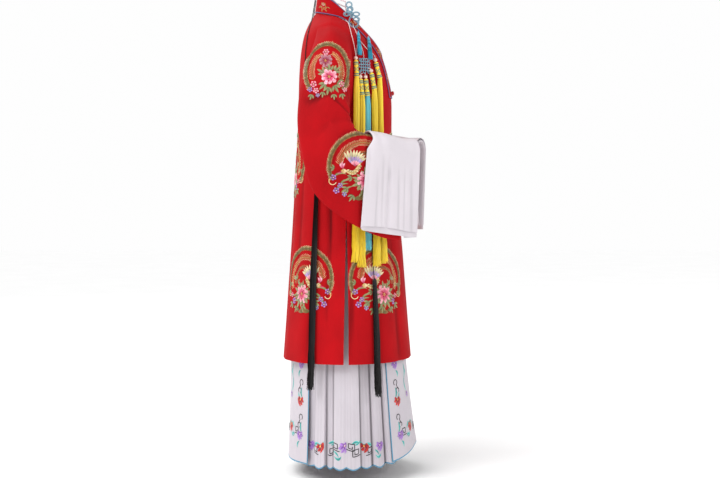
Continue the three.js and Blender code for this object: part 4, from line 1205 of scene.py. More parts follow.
# %% The long tassels
def wrapped_head(top, bottom, main, trim):
    """Silk wrapped in close rounds, with two pairs of trim rings and a row of small diamonds."""
    rows, sides = 84, 20
    t = np.linspace(0, 1, rows)
    line = mix(top, bottom, t[:, None])
    ring = sum(bell((t - at) / 0.032) for at in (0.15, 0.25, 0.82, 0.92))
    body = mix(3.4, HEAD_RADIUS, smooth(t / 0.07)) + mix(0, 1.2, smooth((t - 0.7) / 0.3))
    radii = body + 0.18 * np.sin(t * 260) + 0.55 * np.clip(ring, 0, 1)
    points, faces = tube(line, radii, sides)
    down = np.repeat(t, sides)
    turn = np.tile(np.linspace(0, 4, sides, endpoint=False) % 1, rows)
    from_middle = np.abs(turn - 0.5) * 2 + np.abs(down - 0.54) / 0.17
    diamond = (from_middle > 0.5) & (from_middle < 0.95)
    is_trim = diamond | (np.repeat(ring, sides) > 0.4)
    colours = np.where(is_trim[:, None], np.array(linear(trim)), np.array(linear(main)))
    return points, faces, colours


def tassel(side, hand, name, ys, heights, seed):
    bead, end, waist, tip = hang_line(side, ys, heights, TASSEL_RADIUS + REST)
    silk = thread_bundle([end + [0, 0, 4], end - [0, 0, 14], waist, tip],
                         [5.6, TASSEL_RADIUS, TASSEL_RADIUS, TASSEL_RADIUS + 1], THREADS,
                         TEAL if name == "blue" else YELLOW, seed, uneven=19, clump=0.45, fray=4.2)
    head = wrapped_head(mix(bead, end, 0.1), end, YELLOW, HEAD_TRIM)
    piece = silk_piece(f"silk_tassel_{name}_{hand}", [silk, head])
    dress(piece, [f"tassel_{name}_{hand}"])
    return bead


def bead_shape(centre):
    """A round bead with a dimple at each end of its hole and a fine collar."""
    t = np.linspace(0.06, np.pi - 0.06, 17)
    radii = np.sin(t) * BEAD + 0.02
    heights = np.cos(t) * BEAD * 0.92
    line = centre + point(0, 0, heights)
    cap = tube(centre + point(0, 0, [-6.6, -5.2]), [2.6, 3.2], 12)
    return joined([tube(line, radii, 18), cap])


for hand, side in HANDS:
    beads = []
    for index, (name, bead_y, silk_y, tip_y, bead_z, tip_z) in enumerate(TASSELS):
        heights = (bead_z, bead_z - BEAD - HEAD_LENGTH, tip_z)
        beads.append(bead_shape(tassel(side, hand, name, (bead_y, silk_y, tip_y), heights, 11 + index)))
    points, faces = joined(beads)
    dress(mesh_piece(f"beads_{hand}", points, faces, [BEAD_FINISH]), [])


# %% The white cords
def bead_top(side, index):
    _, y, _, _, z, _ = TASSELS[index]
    return pin(side * clear_of(y, z, TASSEL_RADIUS + REST), y, z + BEAD + 0.4)


def hanging_cords(side, hand):
    lines = []
    for k, path in enumerate(CORD_PATHS):
        line = [off_cloth(side, y, z, CORD + 1) for y, z in path]
        if k == 0:
            line.insert(0, pin(KNOT_X * side, -19, 1371))
        if k < 2:
            line.append(bead_top(side, len(TASSELS) - 1 if k == 0 else 0))
        lines.append(curve_through(line, 60))
    outer = [pin(KNOT_X * side, 4, 1441)]
    outer += [off_cloth(side, y, z, 5.2) for y, z in ((6, 1404), (-2, 1370), (-12, 1330), (-21, 1296))]
    lines.append(curve_through(outer + [bead_top(side, 0)], 60))
    foot = SQUARE_KNOT["z"] - SQUARE_TALL * SQUARE_KNOT["half"] - 3
    for index, y, height in ((1, -46, foot), (2, -54, foot), (3, -62, foot + 14)):
        start, end = off_cloth(side, y, height, 3), bead_top(side, index)
        lines.append(curve_through([start, mix(start, end, 0.5), end], 12))
    print(f"white cords {hand}:", [round(float(travelled(line)[-1])) for line in lines], "mm long")
    plies = [plaited(line, CORD, 5, 5) for line in lines]
    return one_colour(f"white_cords_{hand}", plies, CORD_SILK, CORD_WHITE)


for hand, side in HANDS:
    dress(hanging_cords(side, hand), [])


# %% The small blue tassels
SMALL_TASSELS = (("back", -28, 1340, 1284), ("front", -58, 1330, 1272))
SMALL_REST = 10.1


def small_tassel(side, hand, name, y, top, bottom, seed):
    line = np.array([off_cloth(side, y - 7 * t, mix(top, bottom - 14, t), SMALL_REST) for t in (0, 0.5, 1)])
    silk = thread_bundle([mix(line[0], line[1], 0.36), line[1], line[2]], [3.0, 5.2, 6.6], FEW_THREADS,
                         SMALL_BLUE, seed, uneven=3, thick=0.5, segments=8, fray=0.6)
    t = np.linspace(0, 0.72, 22)
    radii = mix(1.4, 4.6, smooth(t / 0.3)) + 0.25 * np.sin(t * 90)
    head = tube(mix(line[0], line[1], t[:, None]), radii, 14)
    tie = tube(mix(line[0], line[1], np.linspace(0.44, 0.56, 5)[:, None]), [4.9, 5.3, 5.3, 5.3, 4.9], 14)
    piece = silk_piece(f"little_tassel_{name}_{hand}",
                       [silk, dyed(head, SMALL_BLUE), dyed(tie, shade(SMALL_BLUE, 0.8))])
    dress(piece, [f"small_tassel_{name}_{hand}"])


for hand, side in HANDS:
    for index, (name, y, top, bottom) in enumerate(SMALL_TASSELS):
        small_tassel(side, hand, name, y, top, bottom, 31 + index)

# %% The long black silk
# Name, where the cord leaves the collar, the cord's way down the robe, and the silk's.
BLACK_PATHS = (("front", (), ((-73, 1146), (-73.4, 1000), (-74.5, 850), (-77, 680), (-78, 600)),
                ((-78, 600), (-84, 430), (-86, 357), (-88, 256))),
               ("back", ((30, 96, 1457), (34, 102, 1418)),
                ((105, 1388), (110, 1366), (115, 1340), (119, 1312), (122, 1280), (124, 1230), (123, 1170),
                 (116, 1090), (100, 980), (84, 884)), ((84, 884), (92, 600), (98, 357), (100, 276))))
BLACK_CORD, SILK_REST, HANK_RADIUS = 1.2, 10, 8.8


def black_tassel(side, hand, name, start, cord, silk, seed):
    silk_line = [off_cloth(side, y, z, SILK_REST) for y, z in silk]
    top = silk_line[0]
    cord_line = [pin(x * side, y, z) for x, y, z in start]
    cord_line += [off_cloth(side, y, z, BLACK_CORD + 0.9) for y, z in cord[:-1]] + [top - [0, 0, 4]]
    cord_part = tube(curve_through(cord_line, 160), BLACK_CORD + 0.15, 7)
    t = np.linspace(0, 1, 26)
    head = tube(top + point(0, 0, mix(7, -16, t)), mix(2.6, 6.4, smooth(t / 0.35)) + 0.3 * np.sin(t * 80), 14)
    silk_part = thread_bundle(silk_line, [5.5] + [HANK_RADIUS] * (len(silk_line) - 1), THREADS, BLACK, seed,
                              uneven=34, thick=0.65, segments=18, variety=0.4, wide=1.16, fray=3.2)
    piece = silk_piece(f"black_silk_{name}_{hand}", [silk_part, dyed(head, BLACK), dyed(cord_part, BLACK)])
    dress(piece, [f"black_tassel_{name}_{hand}"])


for hand, side in HANDS:
    for index, (name, start, cord, silk) in enumerate(BLACK_PATHS):
        black_tassel(side, hand, name, start, cord, silk, 41 + index)

# %% [markdown]
# ## Embroidery
# Satin stitch lays silk threads side by side until they fill a small shape, such as one petal or one
# barb of a feather. The filled shape stands a little proud of the cloth and shines across its threads.
# So every petal here is a small domed blade of its own, shaded thread by thread. A whole design is drawn
# flat first, in millimetres, and then laid on the curved cloth without stretching it.

# %% One filled shape
STITCH_LIFT, STITCH_DOME, STITCH_LAYER = 0.3, 0.55, 0.28
stitch_dice = np.random.default_rng(7)


def satin(line, half, root, tip, layer=0, columns=5, vein=None):
    """Fills a shape along a line; half is its half width at each point of the line."""
    line, half = np.asarray(line, float), np.asarray(half, float)
    ahead = unit(np.gradient(line, axis=0))
    side = np.stack([-ahead[:, 1], ahead[:, 0]], axis=-1)
    s = np.linspace(-1, 1, columns)
    t = np.linspace(0, 1, len(line))
    flat = line[:, None] + side[:, None] * (half[:, None] * s)[..., None]
    height = STITCH_LIFT + STITCH_LAYER * layer + STITCH_DOME * (1 - s ** 2) * np.minimum(half, 1.6)[:, None]
    tint = mix(np.array(root, float), np.array(tip, float), smooth(t)[:, None])[:, None]
    tint = np.broadcast_to(tint, (len(line), columns, 3)).copy()
    across = stitch_dice.uniform(0.87, 1.13, (1, columns, 1))
    tint *= across * stitch_dice.uniform(0.95, 1.05, (len(line), 1, 1))
    if vein is not None:
        tint[:, columns // 2] = vein
    return flat, height, tint


def blade(start, end, wide, root, tip, fullest=0.6, bend=0.0, layer=0, columns=5, rows=7, vein=None):
    """A petal, leaf or barb: wide is its full width, fullest where along it that is."""
    start, end = np.array(start, float), np.array(end, float)
    t = np.linspace(0, 1, rows)
    across = np.array([-(end - start)[1], (end - start)[0]])
    line = start + (end - start) * t[:, None] + across * (bend * 4 * t * (1 - t))[:, None]
    power = math.log(0.5) / math.log(fullest)
    half = wide / 2 * np.sin(np.pi * np.clip(t, 0.02, 0.98) ** power) ** 0.8
    return satin(line, half, root, tip, layer, columns, vein)


def around(at, reach, degrees):
    turn = math.radians(degrees)
    return (at[0] + reach * math.cos(turn), at[1] + reach * math.sin(turn))


def arc(at, reach, first, last, count, squash=1.0, spiral=0.0):
    turn = np.radians(np.linspace(first, last, count))
    far = reach * (1 + spiral * np.linspace(0, 1, count))
    return np.stack([at[0] + far * np.cos(turn) * squash, at[1] + far * np.sin(turn)], axis=-1)


print("one petal:", len(blade((0, 0), (0, 10), 4, (255, 0, 0), (0, 0, 255))[0]), "rows of threads")

# %% Flowers, leaves and feathers
PINK, PINK_PALE, PINK_DEEP = (222, 98, 128), (244, 178, 188), (186, 44, 84)
OLIVE, LEAF, LEAF_PALE = (96, 88, 44), (84, 98, 60), (158, 152, 104)
GOLD, GOLD_DARK = (204, 158, 90), (142, 102, 54)
PURPLE, LILAC, BLUE_SILK, CREAM = (116, 66, 144), (186, 140, 200), (96, 132, 160), (240, 222, 178)
SKIRT_RED, SKIRT_RED_DARK, SKIRT_PURPLE = (206, 62, 56), (136, 22, 36), (112, 62, 150)
SKIRT_TEAL, FRET_BLACK = (60, 170, 164), (36, 34, 38)


def flower(at, reach, petals, root, tip, heart, turn=0.0, layer=0):
    wide = 0.95 * 2 * math.pi * reach * 0.62 / petals
    shapes = []
    for k in range(petals):
        way = turn + k * 360 / petals
        shapes.append(blade(around(at, reach * 0.12, way), around(at, reach, way), wide, root, tip, 0.64,
                            layer=layer + 0.4 * (k % 2)))
    for k in range(3):
        shapes.append(blade(around(at, reach * 0.2, 120 * k), around(at, reach * 0.2, 120 * k + 180),
                            reach * 0.26, heart, heart, 0.5, layer=layer + 2, columns=3, rows=4))
    return shapes


# A peony's rings of petals: how many, from and to where (of its reach), colours at root and tip.
PEONY_RINGS = ((9, 0.42, 1.0, PINK, PINK_PALE), (8, 0.26, 0.76, PINK_DEEP, PINK_PALE),
               (6, 0.1, 0.5, PINK_DEEP, PINK))
STAMEN = (226, 168, 60)


def peony(at, reach, turn=0.0, bright=1.0):
    def tone(rgb):
        return tuple(c * bright for c in rgb)

    shapes = []
    for ring, (petals, inner, outer, root, tip) in enumerate(PEONY_RINGS):
        wide = 2 * math.pi * reach * outer * 0.72 / petals
        for k in range(petals):
            way = turn + k * 360 / petals + 17 * ring
            far = reach * outer * (1 + 0.09 * math.sin(k * 2.4 + ring))
            shapes.append(blade(around(at, reach * inner, way), around(at, far, way), wide, tone(root),
                                tone(tip), 0.68, 0.06 * (-1) ** k, 1 + ring + 0.4 * (k % 2), columns=7))
    for k in range(5):
        end = around(at, reach * 0.2, turn + 72 * k)
        shapes.append(blade(at, end, reach * 0.1, CREAM, STAMEN, 0.75, layer=5, columns=3, rows=4))
    return shapes


def leaf(start, end, wide, bend=0.12, layer=0, green=LEAF, pale=LEAF_PALE):
    return [blade(start, end, wide, green, pale, 0.42, bend, layer, vein=pale, rows=9)]


def spray(at, way, reach, layer=0):
    """Three leaves from one point."""
    shapes = []
    for k, (off, far) in enumerate(((-42, 0.78), (0, 1.0), (40, 0.74))):
        shapes += leaf(at, around(at, reach * far, way + off), reach * 0.34, 0.1 * (k - 1), layer + 0.4 * k)
    return shapes


def sprays(r, reach, layer, places):
    """Sprays over a design of radius r; a place is x and y, of that radius, and the way it points."""
    return [shape for x, y, way in places for shape in spray((x * r, y * r), way, reach * r, layer)]


def barbs(line, sign, reach, spacing, lean, wide, root, tip, layer=0, taper=1.0):
    """Short threads set side by side along a quill, all leaning towards its tip."""
    line, run = np.asarray(line, float), travelled(line)
    stops = np.arange(spacing / 2, run[-1], spacing)
    ahead = unit(np.gradient(line, axis=0))
    shapes = []
    for stop in stops:
        base = np.array([np.interp(stop, run, line[:, i]) for i in (0, 1)])
        way = unit(np.array([np.interp(stop, run, ahead[:, i]) for i in (0, 1)]))
        out = np.array([-way[1], way[0]]) * sign
        far = reach * mix(1, taper, stop / run[-1]) * stitch_dice.uniform(0.85, 1.12)
        end = base + out * far * math.cos(math.radians(lean)) + way * far * math.sin(math.radians(lean))
        shapes.append(blade(base, end, wide, root, tip, 0.5, 0.12 * sign, layer, columns=3, rows=4))
    return shapes


def feather(line, reach, wide, root=GOLD, tip=CREAM, quill=GOLD_DARK, layer=0, taper=0.6):
    """A long tail feather: barbs on both sides of a quill."""
    shapes = barbs(line, 1, reach, 4.9, 36, 1.35, root, tip, layer, taper)
    shapes += barbs(line, -1, reach, 4.9, 36, 1.35, root, tip, layer, taper)
    return shapes + [satin(line, np.full(len(line), wide / 2), quill, root, layer + 1, 3)]


print("a peony is", len(peony((0, 0), 28)), "petals and threads")


# %% The phoenix
NECK_PLUMES, EYE = 12, (30, 24, 24)
# The wing's rows from the longest: reach, how many feathers, colours at root and tip.
WING_ROWS = ((0.86, 9, LEAF, CREAM), (0.56, 7, BLUE_SILK, LILAC), (0.32, 6, PINK, PINK_PALE))


def phoenix(at, size, layer=1):
    """Head, crest, neck and spread wing; its tail is drawn apart, because it rings the design."""
    def place(x, y):
        return at[0] + x * size, at[1] + y * size

    shapes = []

    def add(start, end, wide, root, tip, fullest, bend, above, columns=3, rows=5):
        shapes.append(blade(start, end, wide * size, root, tip, fullest, bend, layer + above, columns, rows))

    crest = place(0, 0.08)
    for way, far in ((118, 0.34), (98, 0.38), (78, 0.30)):
        add(crest, around(crest, far * size, way), 0.1, PINK_DEEP, PINK_PALE, 0.7, 0.15, 2)
    for k in range(NECK_PLUMES):
        t = k / (NECK_PLUMES - 1)
        x, y = 0.1 + 0.62 * t, -0.04 + 0.34 * t - 0.22 * math.sin(math.pi * t)
        for off in (-1, 1):
            add(place(x, y), place(x + 0.17, y + off * (0.07 + 0.06 * t) + 0.03), 0.1, GOLD,
                LEAF_PALE if k % 2 else CREAM, 0.6, 0, 1 - 0.05 * k)
    add(place(0.16, 0), place(-0.14, -0.01), 0.22, CREAM, GOLD, 0.5, 0, 2.4, 5, 6)
    add(place(-0.1, 0), place(-0.32, -0.1), 0.08, PINK_DEEP, PINK, 0.35, 0.15, 3)
    add(place(-0.03, 0.02), place(0.03, 0.02), 0.05, EYE, EYE, 0.5, 0, 4, 3, 4)
    wing = place(0.56, 0.22)
    for row, (far, count, root, tip) in enumerate(WING_ROWS):
        for k in range(count):
            end = around(wing, far * size * (1 - 0.02 * k), 128 - k * 92 / (count - 1))
            add(wing, end, 0.12, root, tip, 0.78, 0.05, 0.6 * row + 0.3 * (k % 2), 3, 6)
    return shapes


print("the bird has", 2 * NECK_PLUMES, "neck plumes and", sum(row[1] for row in WING_ROWS), "wing feathers")


# %% The round design
def feather_ring(reach, first, last, squash=1.0):
    """The border: an olive quill with gold edges and a fringe of barbs outside and in."""
    line = arc((0, 0), reach, first, last, 121, squash)
    shapes = barbs(line, 1, 12, 4.6, 34, 1.5, GOLD, CREAM, 0)
    shapes += barbs(line, -1, 7, 4.6, 40, 1.5, GOLD, GOLD, 0)
    shapes.append(satin(line, np.full(len(line), 1.6), OLIVE, OLIVE, 1, 5))
    shapes += barbs(line, 1, 10, 6.2, 48, 4.4, OLIVE, LEAF_PALE, 2)
    shapes += barbs(line, -1, 7.5, 6.2, 52, 3.6, OLIVE, GOLD_DARK, 2)
    return shapes


def small_flower(r, x, y, far, root, tip, turn):
    return flower((x * r, y * r), far * r, 5, root, tip, CREAM, turn * x, 2)


def roundel(r=105.0):
    """Phoenix and peony in a ring of feathers, drawn with the bird at the left."""
    shapes = feather_ring(0.9 * r, 205, -28)
    shapes += feather(arc((0, 0), 0.63 * r, 176, -22, 90, spiral=0.1), 14, 2.6)
    inner = arc((0.04 * r, -0.04 * r), 0.38 * r, 140, -8, 60, spiral=0.24)
    shapes += feather(inner, 9, 2.0, LEAF_PALE, GOLD, OLIVE)
    shapes += sprays(r, 0.17, 0, ((-0.78, -0.06, 160), (0.8, -0.2, 20), (0.46, 0.0, 80), (0.34, -0.12, 120),
                                  (-0.3, -0.3, 200)))
    for side in (-1, 1):
        curl = arc((side * 0.82 * r, -0.4 * r), 0.1 * r, 90, 90 - side * 250, 21)
        shapes.append(satin(curl, np.linspace(1.5, 0.7, 21), GOLD, CREAM, 1, 3))
    for k, (way, far) in enumerate(((-26, 0.9), (-12, 0.72), (4, 0.56))):
        shapes += flower(around((0, 0), far * r, way), 0.06 * r, 5, LEAF, CREAM, GOLD, 20 * k, 2)
    shapes += phoenix((-0.52 * r, -0.12 * r), 0.56 * r)
    flower_at = (0.1 * r, -0.4 * r)
    for way, far in ((200, 0.34), (165, 0.3), (20, 0.36), (60, 0.32), (95, 0.3), (250, 0.36), (300, 0.4),
                     (340, 0.34)):
        shapes += spray(around(flower_at, 0.17 * r, way), way, far * r * 0.75)
    shapes += peony(flower_at, 0.27 * r)
    for x, y, far, root, tip in (
            (-0.8, -0.3, 0.085, PURPLE, LILAC), (-0.62, -0.52, 0.075, PURPLE, LILAC),
            (-0.72, -0.66, 0.09, PURPLE, LILAC), (-0.5, -0.76, 0.07, BLUE_SILK, LILAC),
            (0.52, -0.62, 0.1, PURPLE, LILAC), (0.66, -0.46, 0.075, PINK_DEEP, PINK_PALE)):
        shapes += small_flower(r, x, y, far, root, tip, 40)
        shapes += leaf((x * r, y * r), (0.55 * x * r, 0.72 * y * r), 0.06 * r, 0.2, 0)
    shapes += sprays(r, 0.2, 1, ((-0.42, -0.6, 215), (-0.26, -0.8, 235), (0.36, -0.78, 300),
                                 (0.02, -0.74, 262), (0.62, -0.7, 320)))
    for x, y, wide, tall in ((-0.1, -0.9, 0.26, 0.13), (0.12, -0.92, 0.24, 0.11), (0.3, -0.86, 0.2, 0.1),
                             (0.02, -0.83, 0.2, 0.09)):
        shapes.append(blade(((x - wide / 2) * r, y * r), ((x + wide / 2) * r, y * r), tall * r, OLIVE,
                            GOLD_DARK, 0.5, 0.1, 1, 7, 7))
    return shapes


def arch(half_wide=66.0, r=86.0):
    """The shoulder design: two peonies, feathers and sprays under an arch that is open at the foot."""
    squash = half_wide / r
    shapes = feather_ring(0.93 * r, 222, -42, squash)
    for first, last in ((206, 112), (-26, 68)):
        shapes += feather(arc((0, 0), 0.66 * r, first, last, 60, squash), 12, 2.0)
    shapes += peony((-0.04 * r, 0.36 * r), 0.23 * r, 10, 0.72)
    shapes += flower((-0.03 * r, 0.66 * r), 0.11 * r, 6, PINK_DEEP, PINK_PALE, CREAM, 0, 2)
    shapes += sprays(r, 0.27, 0, ((0.1, 0.02, 100), (-0.1, -0.06, 150), (0.28, 0.0, 40), (-0.06, -0.44, 225),
                                  (0.26, -0.5, 300), (0.06, -0.56, 260), (0.38, -0.36, 330)))
    shapes += peony((0.08 * r, -0.2 * r), 0.27 * r, 0, 1.06)
    for x, y, far, root, tip in (
            (-0.44, -0.44, 0.11, PINK_DEEP, PINK_PALE), (-0.56, -0.62, 0.09, PURPLE, LILAC),
            (-0.36, -0.66, 0.1, PINK, PINK_PALE), (0.5, -0.44, 0.1, PINK_DEEP, PINK_PALE),
            (0.6, -0.62, 0.08, PINK, PINK_PALE), (-0.3, -0.82, 0.07, BLUE_SILK, LILAC)):
        shapes += small_flower(r, x, y, far, root, tip, 50)
    return shapes + sprays(r, 0.19, 1, ((-0.5, -0.8, 250), (0.5, -0.78, 285), (-0.12, -0.72, 262),
                                        (0.24, -0.8, 275)))


print("a roundel is", len(roundel()), "stitched shapes; the arch", len(arch()))

# %% [markdown]
# ## Lay a flat design on curved cloth
# If we projected the flat design straight on to the cloth, it would stretch on the steep parts. So we
# walk over the cloth from the middle of the design, first up or down and then sideways, and measure
# the way in millimetres, as an embroiderer would with a tape. Blender's Shrinkwrap modifier is
# quicker, but it projects.

# %% The measuring tape
def tape(surface, middle, reach, sign=(1, 1), steps=(61, 121)):
    """Returns a function from flat (u, v) in mm to points and outward directions on the cloth."""
    b = middle[1] + sign[1] * np.linspace(-reach[1], reach[1], steps[0])
    a = middle[0] + sign[0] * np.linspace(-reach[0], reach[0], steps[1])
    column, row = np.meshgrid(a, b)
    grid = surface(column, row)
    mid_b, mid_a = steps[0] // 2, steps[1] // 2
    up = travelled(grid[:, mid_a])
    up = up - up[mid_b]
    side = np.array([travelled(row) for row in grid])
    side = side - side[:, mid_a:mid_a + 1]
    b_step, a_step = 0.3 * abs(b[1] - b[0]), 0.3 * abs(a[1] - a[0])

    def lay(flat):
        row_at = np.interp(flat[:, 1], up, np.arange(steps[0]))
        low = np.clip(row_at.astype(int), 0, steps[0] - 2)
        part = row_at - low
        place_a = np.array([np.interp(u, mix(side[k], side[k + 1], share), a)
                            for u, k, share in zip(flat[:, 0], low, part)])
        place_b = np.interp(row_at, np.arange(steps[0]), b)
        p = surface(place_a, place_b)
        to_side = (surface(place_a + a_step, place_b) - surface(place_a - a_step, place_b)) * sign[0]
        to_top = (surface(place_a, place_b + b_step) - surface(place_a, place_b - b_step)) * sign[1]
        normal = unit(np.cross(to_side, to_top))
        away = (p - np.array([0, TORSO["middle"][0], 0])) * np.array([1, 1, 0])
        facing = 1 if np.sum(normal * away) > 0 else -1
        return p, normal * facing, facing

    return lay


def seen_from_side(surface, start):
    """For a part that hangs nearly flat: lays a design by its height and depth, as seen from the side."""
    middle = surface(*start)
    side = np.sign(middle[0])

    def lay(flat):
        section, turn = np.full(len(flat), float(start[0])), np.full(len(flat), float(start[1]))
        for _ in range(14):
            p = surface(section, turn)
            by_section = (surface(section + 0.03, turn) - surface(section - 0.03, turn)) / 0.06
            by_turn = (surface(section, turn + 1) - surface(section, turn - 1)) / 2
            miss_y, miss_z = middle[1] - flat[:, 0] - p[:, 1], middle[2] + flat[:, 1] - p[:, 2]
            area = by_section[:, 1] * by_turn[:, 2] - by_section[:, 2] * by_turn[:, 1]
            area = np.where(np.abs(area) < 1, np.sign(area) + (area == 0), area)
            section = section + np.clip((miss_y * by_turn[:, 2] - miss_z * by_turn[:, 1]) / area, -0.4, 0.4)
            turn = turn + np.clip((miss_z * by_section[:, 1] - miss_y * by_section[:, 2]) / area, -12, 12)
            section, turn = np.clip(section, 1, CUFF), np.clip(turn, 8, 172)
        normal = unit(np.cross(by_section, by_turn))
        return surface(section, turn), normal * (np.sign(normal[:, :1]) * side), -side

    return lay


ruler = tape(torso, (56, 10), (20, 0.5), (1, -1))
left_end, right_end = ruler(np.array([[-30.0, 0], [30.0, 0]]))[0]
print("60 mm by tape:", round(float(np.linalg.norm(right_end - left_end)), 1), "mm straight through the air")


# %% The needle
def sew(name, designs, keep=None):
    """Makes one piece of embroidery from (shapes, lay, place) designs; keep says which points stay."""
    points, tints, quads, start = [], [], [], 0
    for shapes, lay, place in designs:
        flat_points = np.concatenate([flat.reshape(-1, 2) for flat, _, _ in shapes])
        p, normal, facing = lay(flat_points + np.array(place, float))
        points.append(p + normal * np.concatenate([height.ravel() for _, height, _ in shapes])[:, None])
        tints.append(np.concatenate([tint.reshape(-1, 3) for _, _, tint in shapes]))
        for flat, _, _ in shapes:
            rows, columns = flat.shape[:2]
            index = start + np.arange(rows * columns).reshape(rows, columns)
            cell = np.stack([index[:-1, :-1], index[:-1, 1:], index[1:, 1:], index[1:, :-1]], axis=-1)
            cell = cell.reshape(-1, 4)
            quads.append(cell[:, ::-1] if facing < 0 else cell)
            start += rows * columns
    points, tints, quads = np.concatenate(points), np.concatenate(tints), np.concatenate(quads)
    if keep is not None:
        quads = quads[keep(points)[quads].all(axis=1)]
    colours = np.array([linear(np.clip(t, 0, 255)) for t in tints])
    used = np.unique(quads)
    order = np.full(len(points), -1)
    order[used] = np.arange(len(used))
    piece = mesh_piece(name, points[used], order[quads].tolist(), [EMBROIDERY], colours=colours[used])
    dress(piece, [])


# %% Embroider the robe
# Where each design's middle lies: turn and row on the body, section and turn on the sleeve.
BACK_WAIST, BACK_HEM, FRONT_WAIST, FRONT_HEM = (180, 7.86), (133, 10.91), (0, 7.6), (56, 10.91)
SHOULDER_SPOT, CUFF_SPOT = (2.42, 94), (6.65, 107)
FRONT_GAP = 4.2            # the front design is cut in two where the robe opens


def body(side):
    return lambda turn, row: torso(turn % 360, row) * mirror(side)


def arm(side):
    return functools.partial(sleeve_point, side)


round_design, arch_design = roundel(), arch()
for name, middle, gap in (("back", BACK_WAIST, 0), ("front", FRONT_WAIST, FRONT_GAP)):
    lay = tape(body(1), middle, (48, 1.7), (1, -1))
    sew(f"{name}_waist_roundel", [(round_design, lay, (0, 0))],
        lambda p, gap=gap: np.abs(p[:, 0]) >= gap)
for hand, side in HANDS:
    # The bird is at the left of its design. On the hem it is sewn next to the side slit, and on the
    # sleeve it looks backwards, away from the cuff.
    for name, middle, away in (("back_hem", BACK_HEM, 1), ("front_hem", FRONT_HEM, -1)):
        lay = tape(body(side), middle, (40, 1.2), (away, -1))
        sew(f"{name}_roundel_{hand}", [(round_design, lay, (0, 0))])
    for name, design, middle, place in (("shoulder_arch", arch_design, SHOULDER_SPOT, (0, 0)),
                                        ("cuff_roundel", round_design, CUFF_SPOT, (20, 0))):
        sew(f"{name}_{hand}", [(design, seen_from_side(arm(side), middle), place)])


# %% Sprigs on the collar band
SPRIG_STATIONS, SPRIG_REACH = (2.1, 5.2, 8.0, 10.9), 15


def sprig(turn):
    """A curved stem with seven leaves, below three small flowers."""
    stem = arc((0, 0), SPRIG_REACH, 200 + turn, 340 + turn, 21)
    shapes = [satin(stem, np.full(len(stem), 0.6), GOLD, GOLD, 0, 3)]
    for k in range(7):
        way = 205 + turn + 130 * k / 6
        foot = around((0, 0), SPRIG_REACH, way)
        tip = around(foot, 8, way + 140) if k % 2 else around(foot, 10, way + 20)
        shapes += leaf(foot, tip, 3.6, 0.1, 0.4, GOLD_DARK if k % 3 else OLIVE, GOLD)
    for k, (way, far) in enumerate(((270, 8), (225, 9), (315, 9))):
        root, pale = (GOLD_DARK, GOLD) if k else (PINK_DEEP, PINK_PALE)
        shapes += flower(around((0, 4), far * 0.6, way + turn), 5.2, 5, root, pale, CREAM, 30 * k, 2)
    return shapes


for hand, side in HANDS:
    def band_surface(at, across, side=side):
        return band_at(across, at) * mirror(side)

    lays = [tape(band_surface, (at, 0.5), (1.6, 0.5), (1, 1), (25, 61)) for at in SPRIG_STATIONS]
    sew(f"collar_sprigs_{hand}", [(sprig(10 * k), lay, (0, 2)) for k, lay in enumerate(lays)])

# %% [markdown]
# ## The skirt's border
# Along the hem run flowers between black frets and green scrolls, and the same motifs climb the edges of
# the flat panels. A fret is couched: a thick thread is laid along the line and held down by tiny
# stitches, so we fill a narrow shape along a squared spiral.

# %% Border motifs
FRET_LEGS = (1.3, 1.0, 0.95, 0.7, 0.62, 0.36)
TEAL_PALE, TEAL_DARK = (134, 206, 198), (40, 132, 130)
# A bloom's petals from the back: the way each points beside the middle one, and its reach.
BLOOM_FAN = ((-96, 0.62), (96, 0.62), (-62, 0.86), (62, 0.86), (-28, 0.98), (28, 0.98), (0, 1.1))


def fret(size, flip=1):
    """A squared spiral: each leg is shorter than the one before it."""
    corners = [(0.0, 0.0)]
    for way, leg in enumerate(FRET_LEGS):
        x, y = ((1, 0), (0, 1), (-1, 0), (0, -1))[way % 4]
        corners.append((corners[-1][0] + flip * x * leg * size, corners[-1][1] + y * leg * size))
    legs = [np.linspace(a, b, 6)[:-1] for a, b in zip(corners[:-1], corners[1:])]
    line = np.concatenate(legs + [[corners[-1]]])
    line = line - (line.min(axis=0) + line.max(axis=0)) / 2
    return [satin(line, np.full(len(line), 1.25), FRET_BLACK, FRET_BLACK, 1, 3)]


def hook(size, flip=1):
    """A small round hook, for the panels' edges."""
    line = arc((0, 0), size * 0.5, -60, 230, 25)
    tail = np.linspace(line[0], line[0] + [size * 0.5, -size * 0.75], 7)[::-1]
    line = np.concatenate([tail[:-1], line]) * [flip, 1]
    return [satin(line, np.full(len(line), 1.3), FRET_BLACK, FRET_BLACK, 1, 3)]


def scroll(start, end, wide, bend):
    return [blade(start, end, wide, SKIRT_TEAL, TEAL_PALE, 0.5, bend, 0, 5, 9, vein=TEAL_DARK)]


def bloom(at, reach, root, tip, way=-90):
    """A flower seen from the side: a fan of petals with a golden heart."""
    shapes = [blade(at, around(at, reach * far, way + off), reach * 0.42, root, tip, 0.7, 0.05 * k,
                    1 + 0.5 * (k % 2), 7) for k, (off, far) in enumerate(BLOOM_FAN)]
    shapes += [blade(at, around(at, reach * 0.6, way + off), reach * 0.26, tip, root, 0.6, 0, 2.5, 5)
               for off in (-45, 0, 45)]
    shapes.append(blade(around(at, reach * 0.1, way + 180), around(at, reach * 0.5, way), reach * 0.22,
                        (228, 176, 70), (244, 214, 130), 0.6, 0, 3, 3, 5))
    return shapes


def shifted(shapes, x, y):
    return [(flat + [x, y], height, tint) for flat, height, tint in shapes]


def purple_bloom(x, y, size):
    shapes = bloom((x, y + size * 0.5), size, SKIRT_PURPLE, (176, 136, 206))
    return shapes + flower((x, y + size * 0.3), size * 0.4, 5, (94, 46, 130), (190, 156, 214),
                           (236, 214, 240), 18, 3)


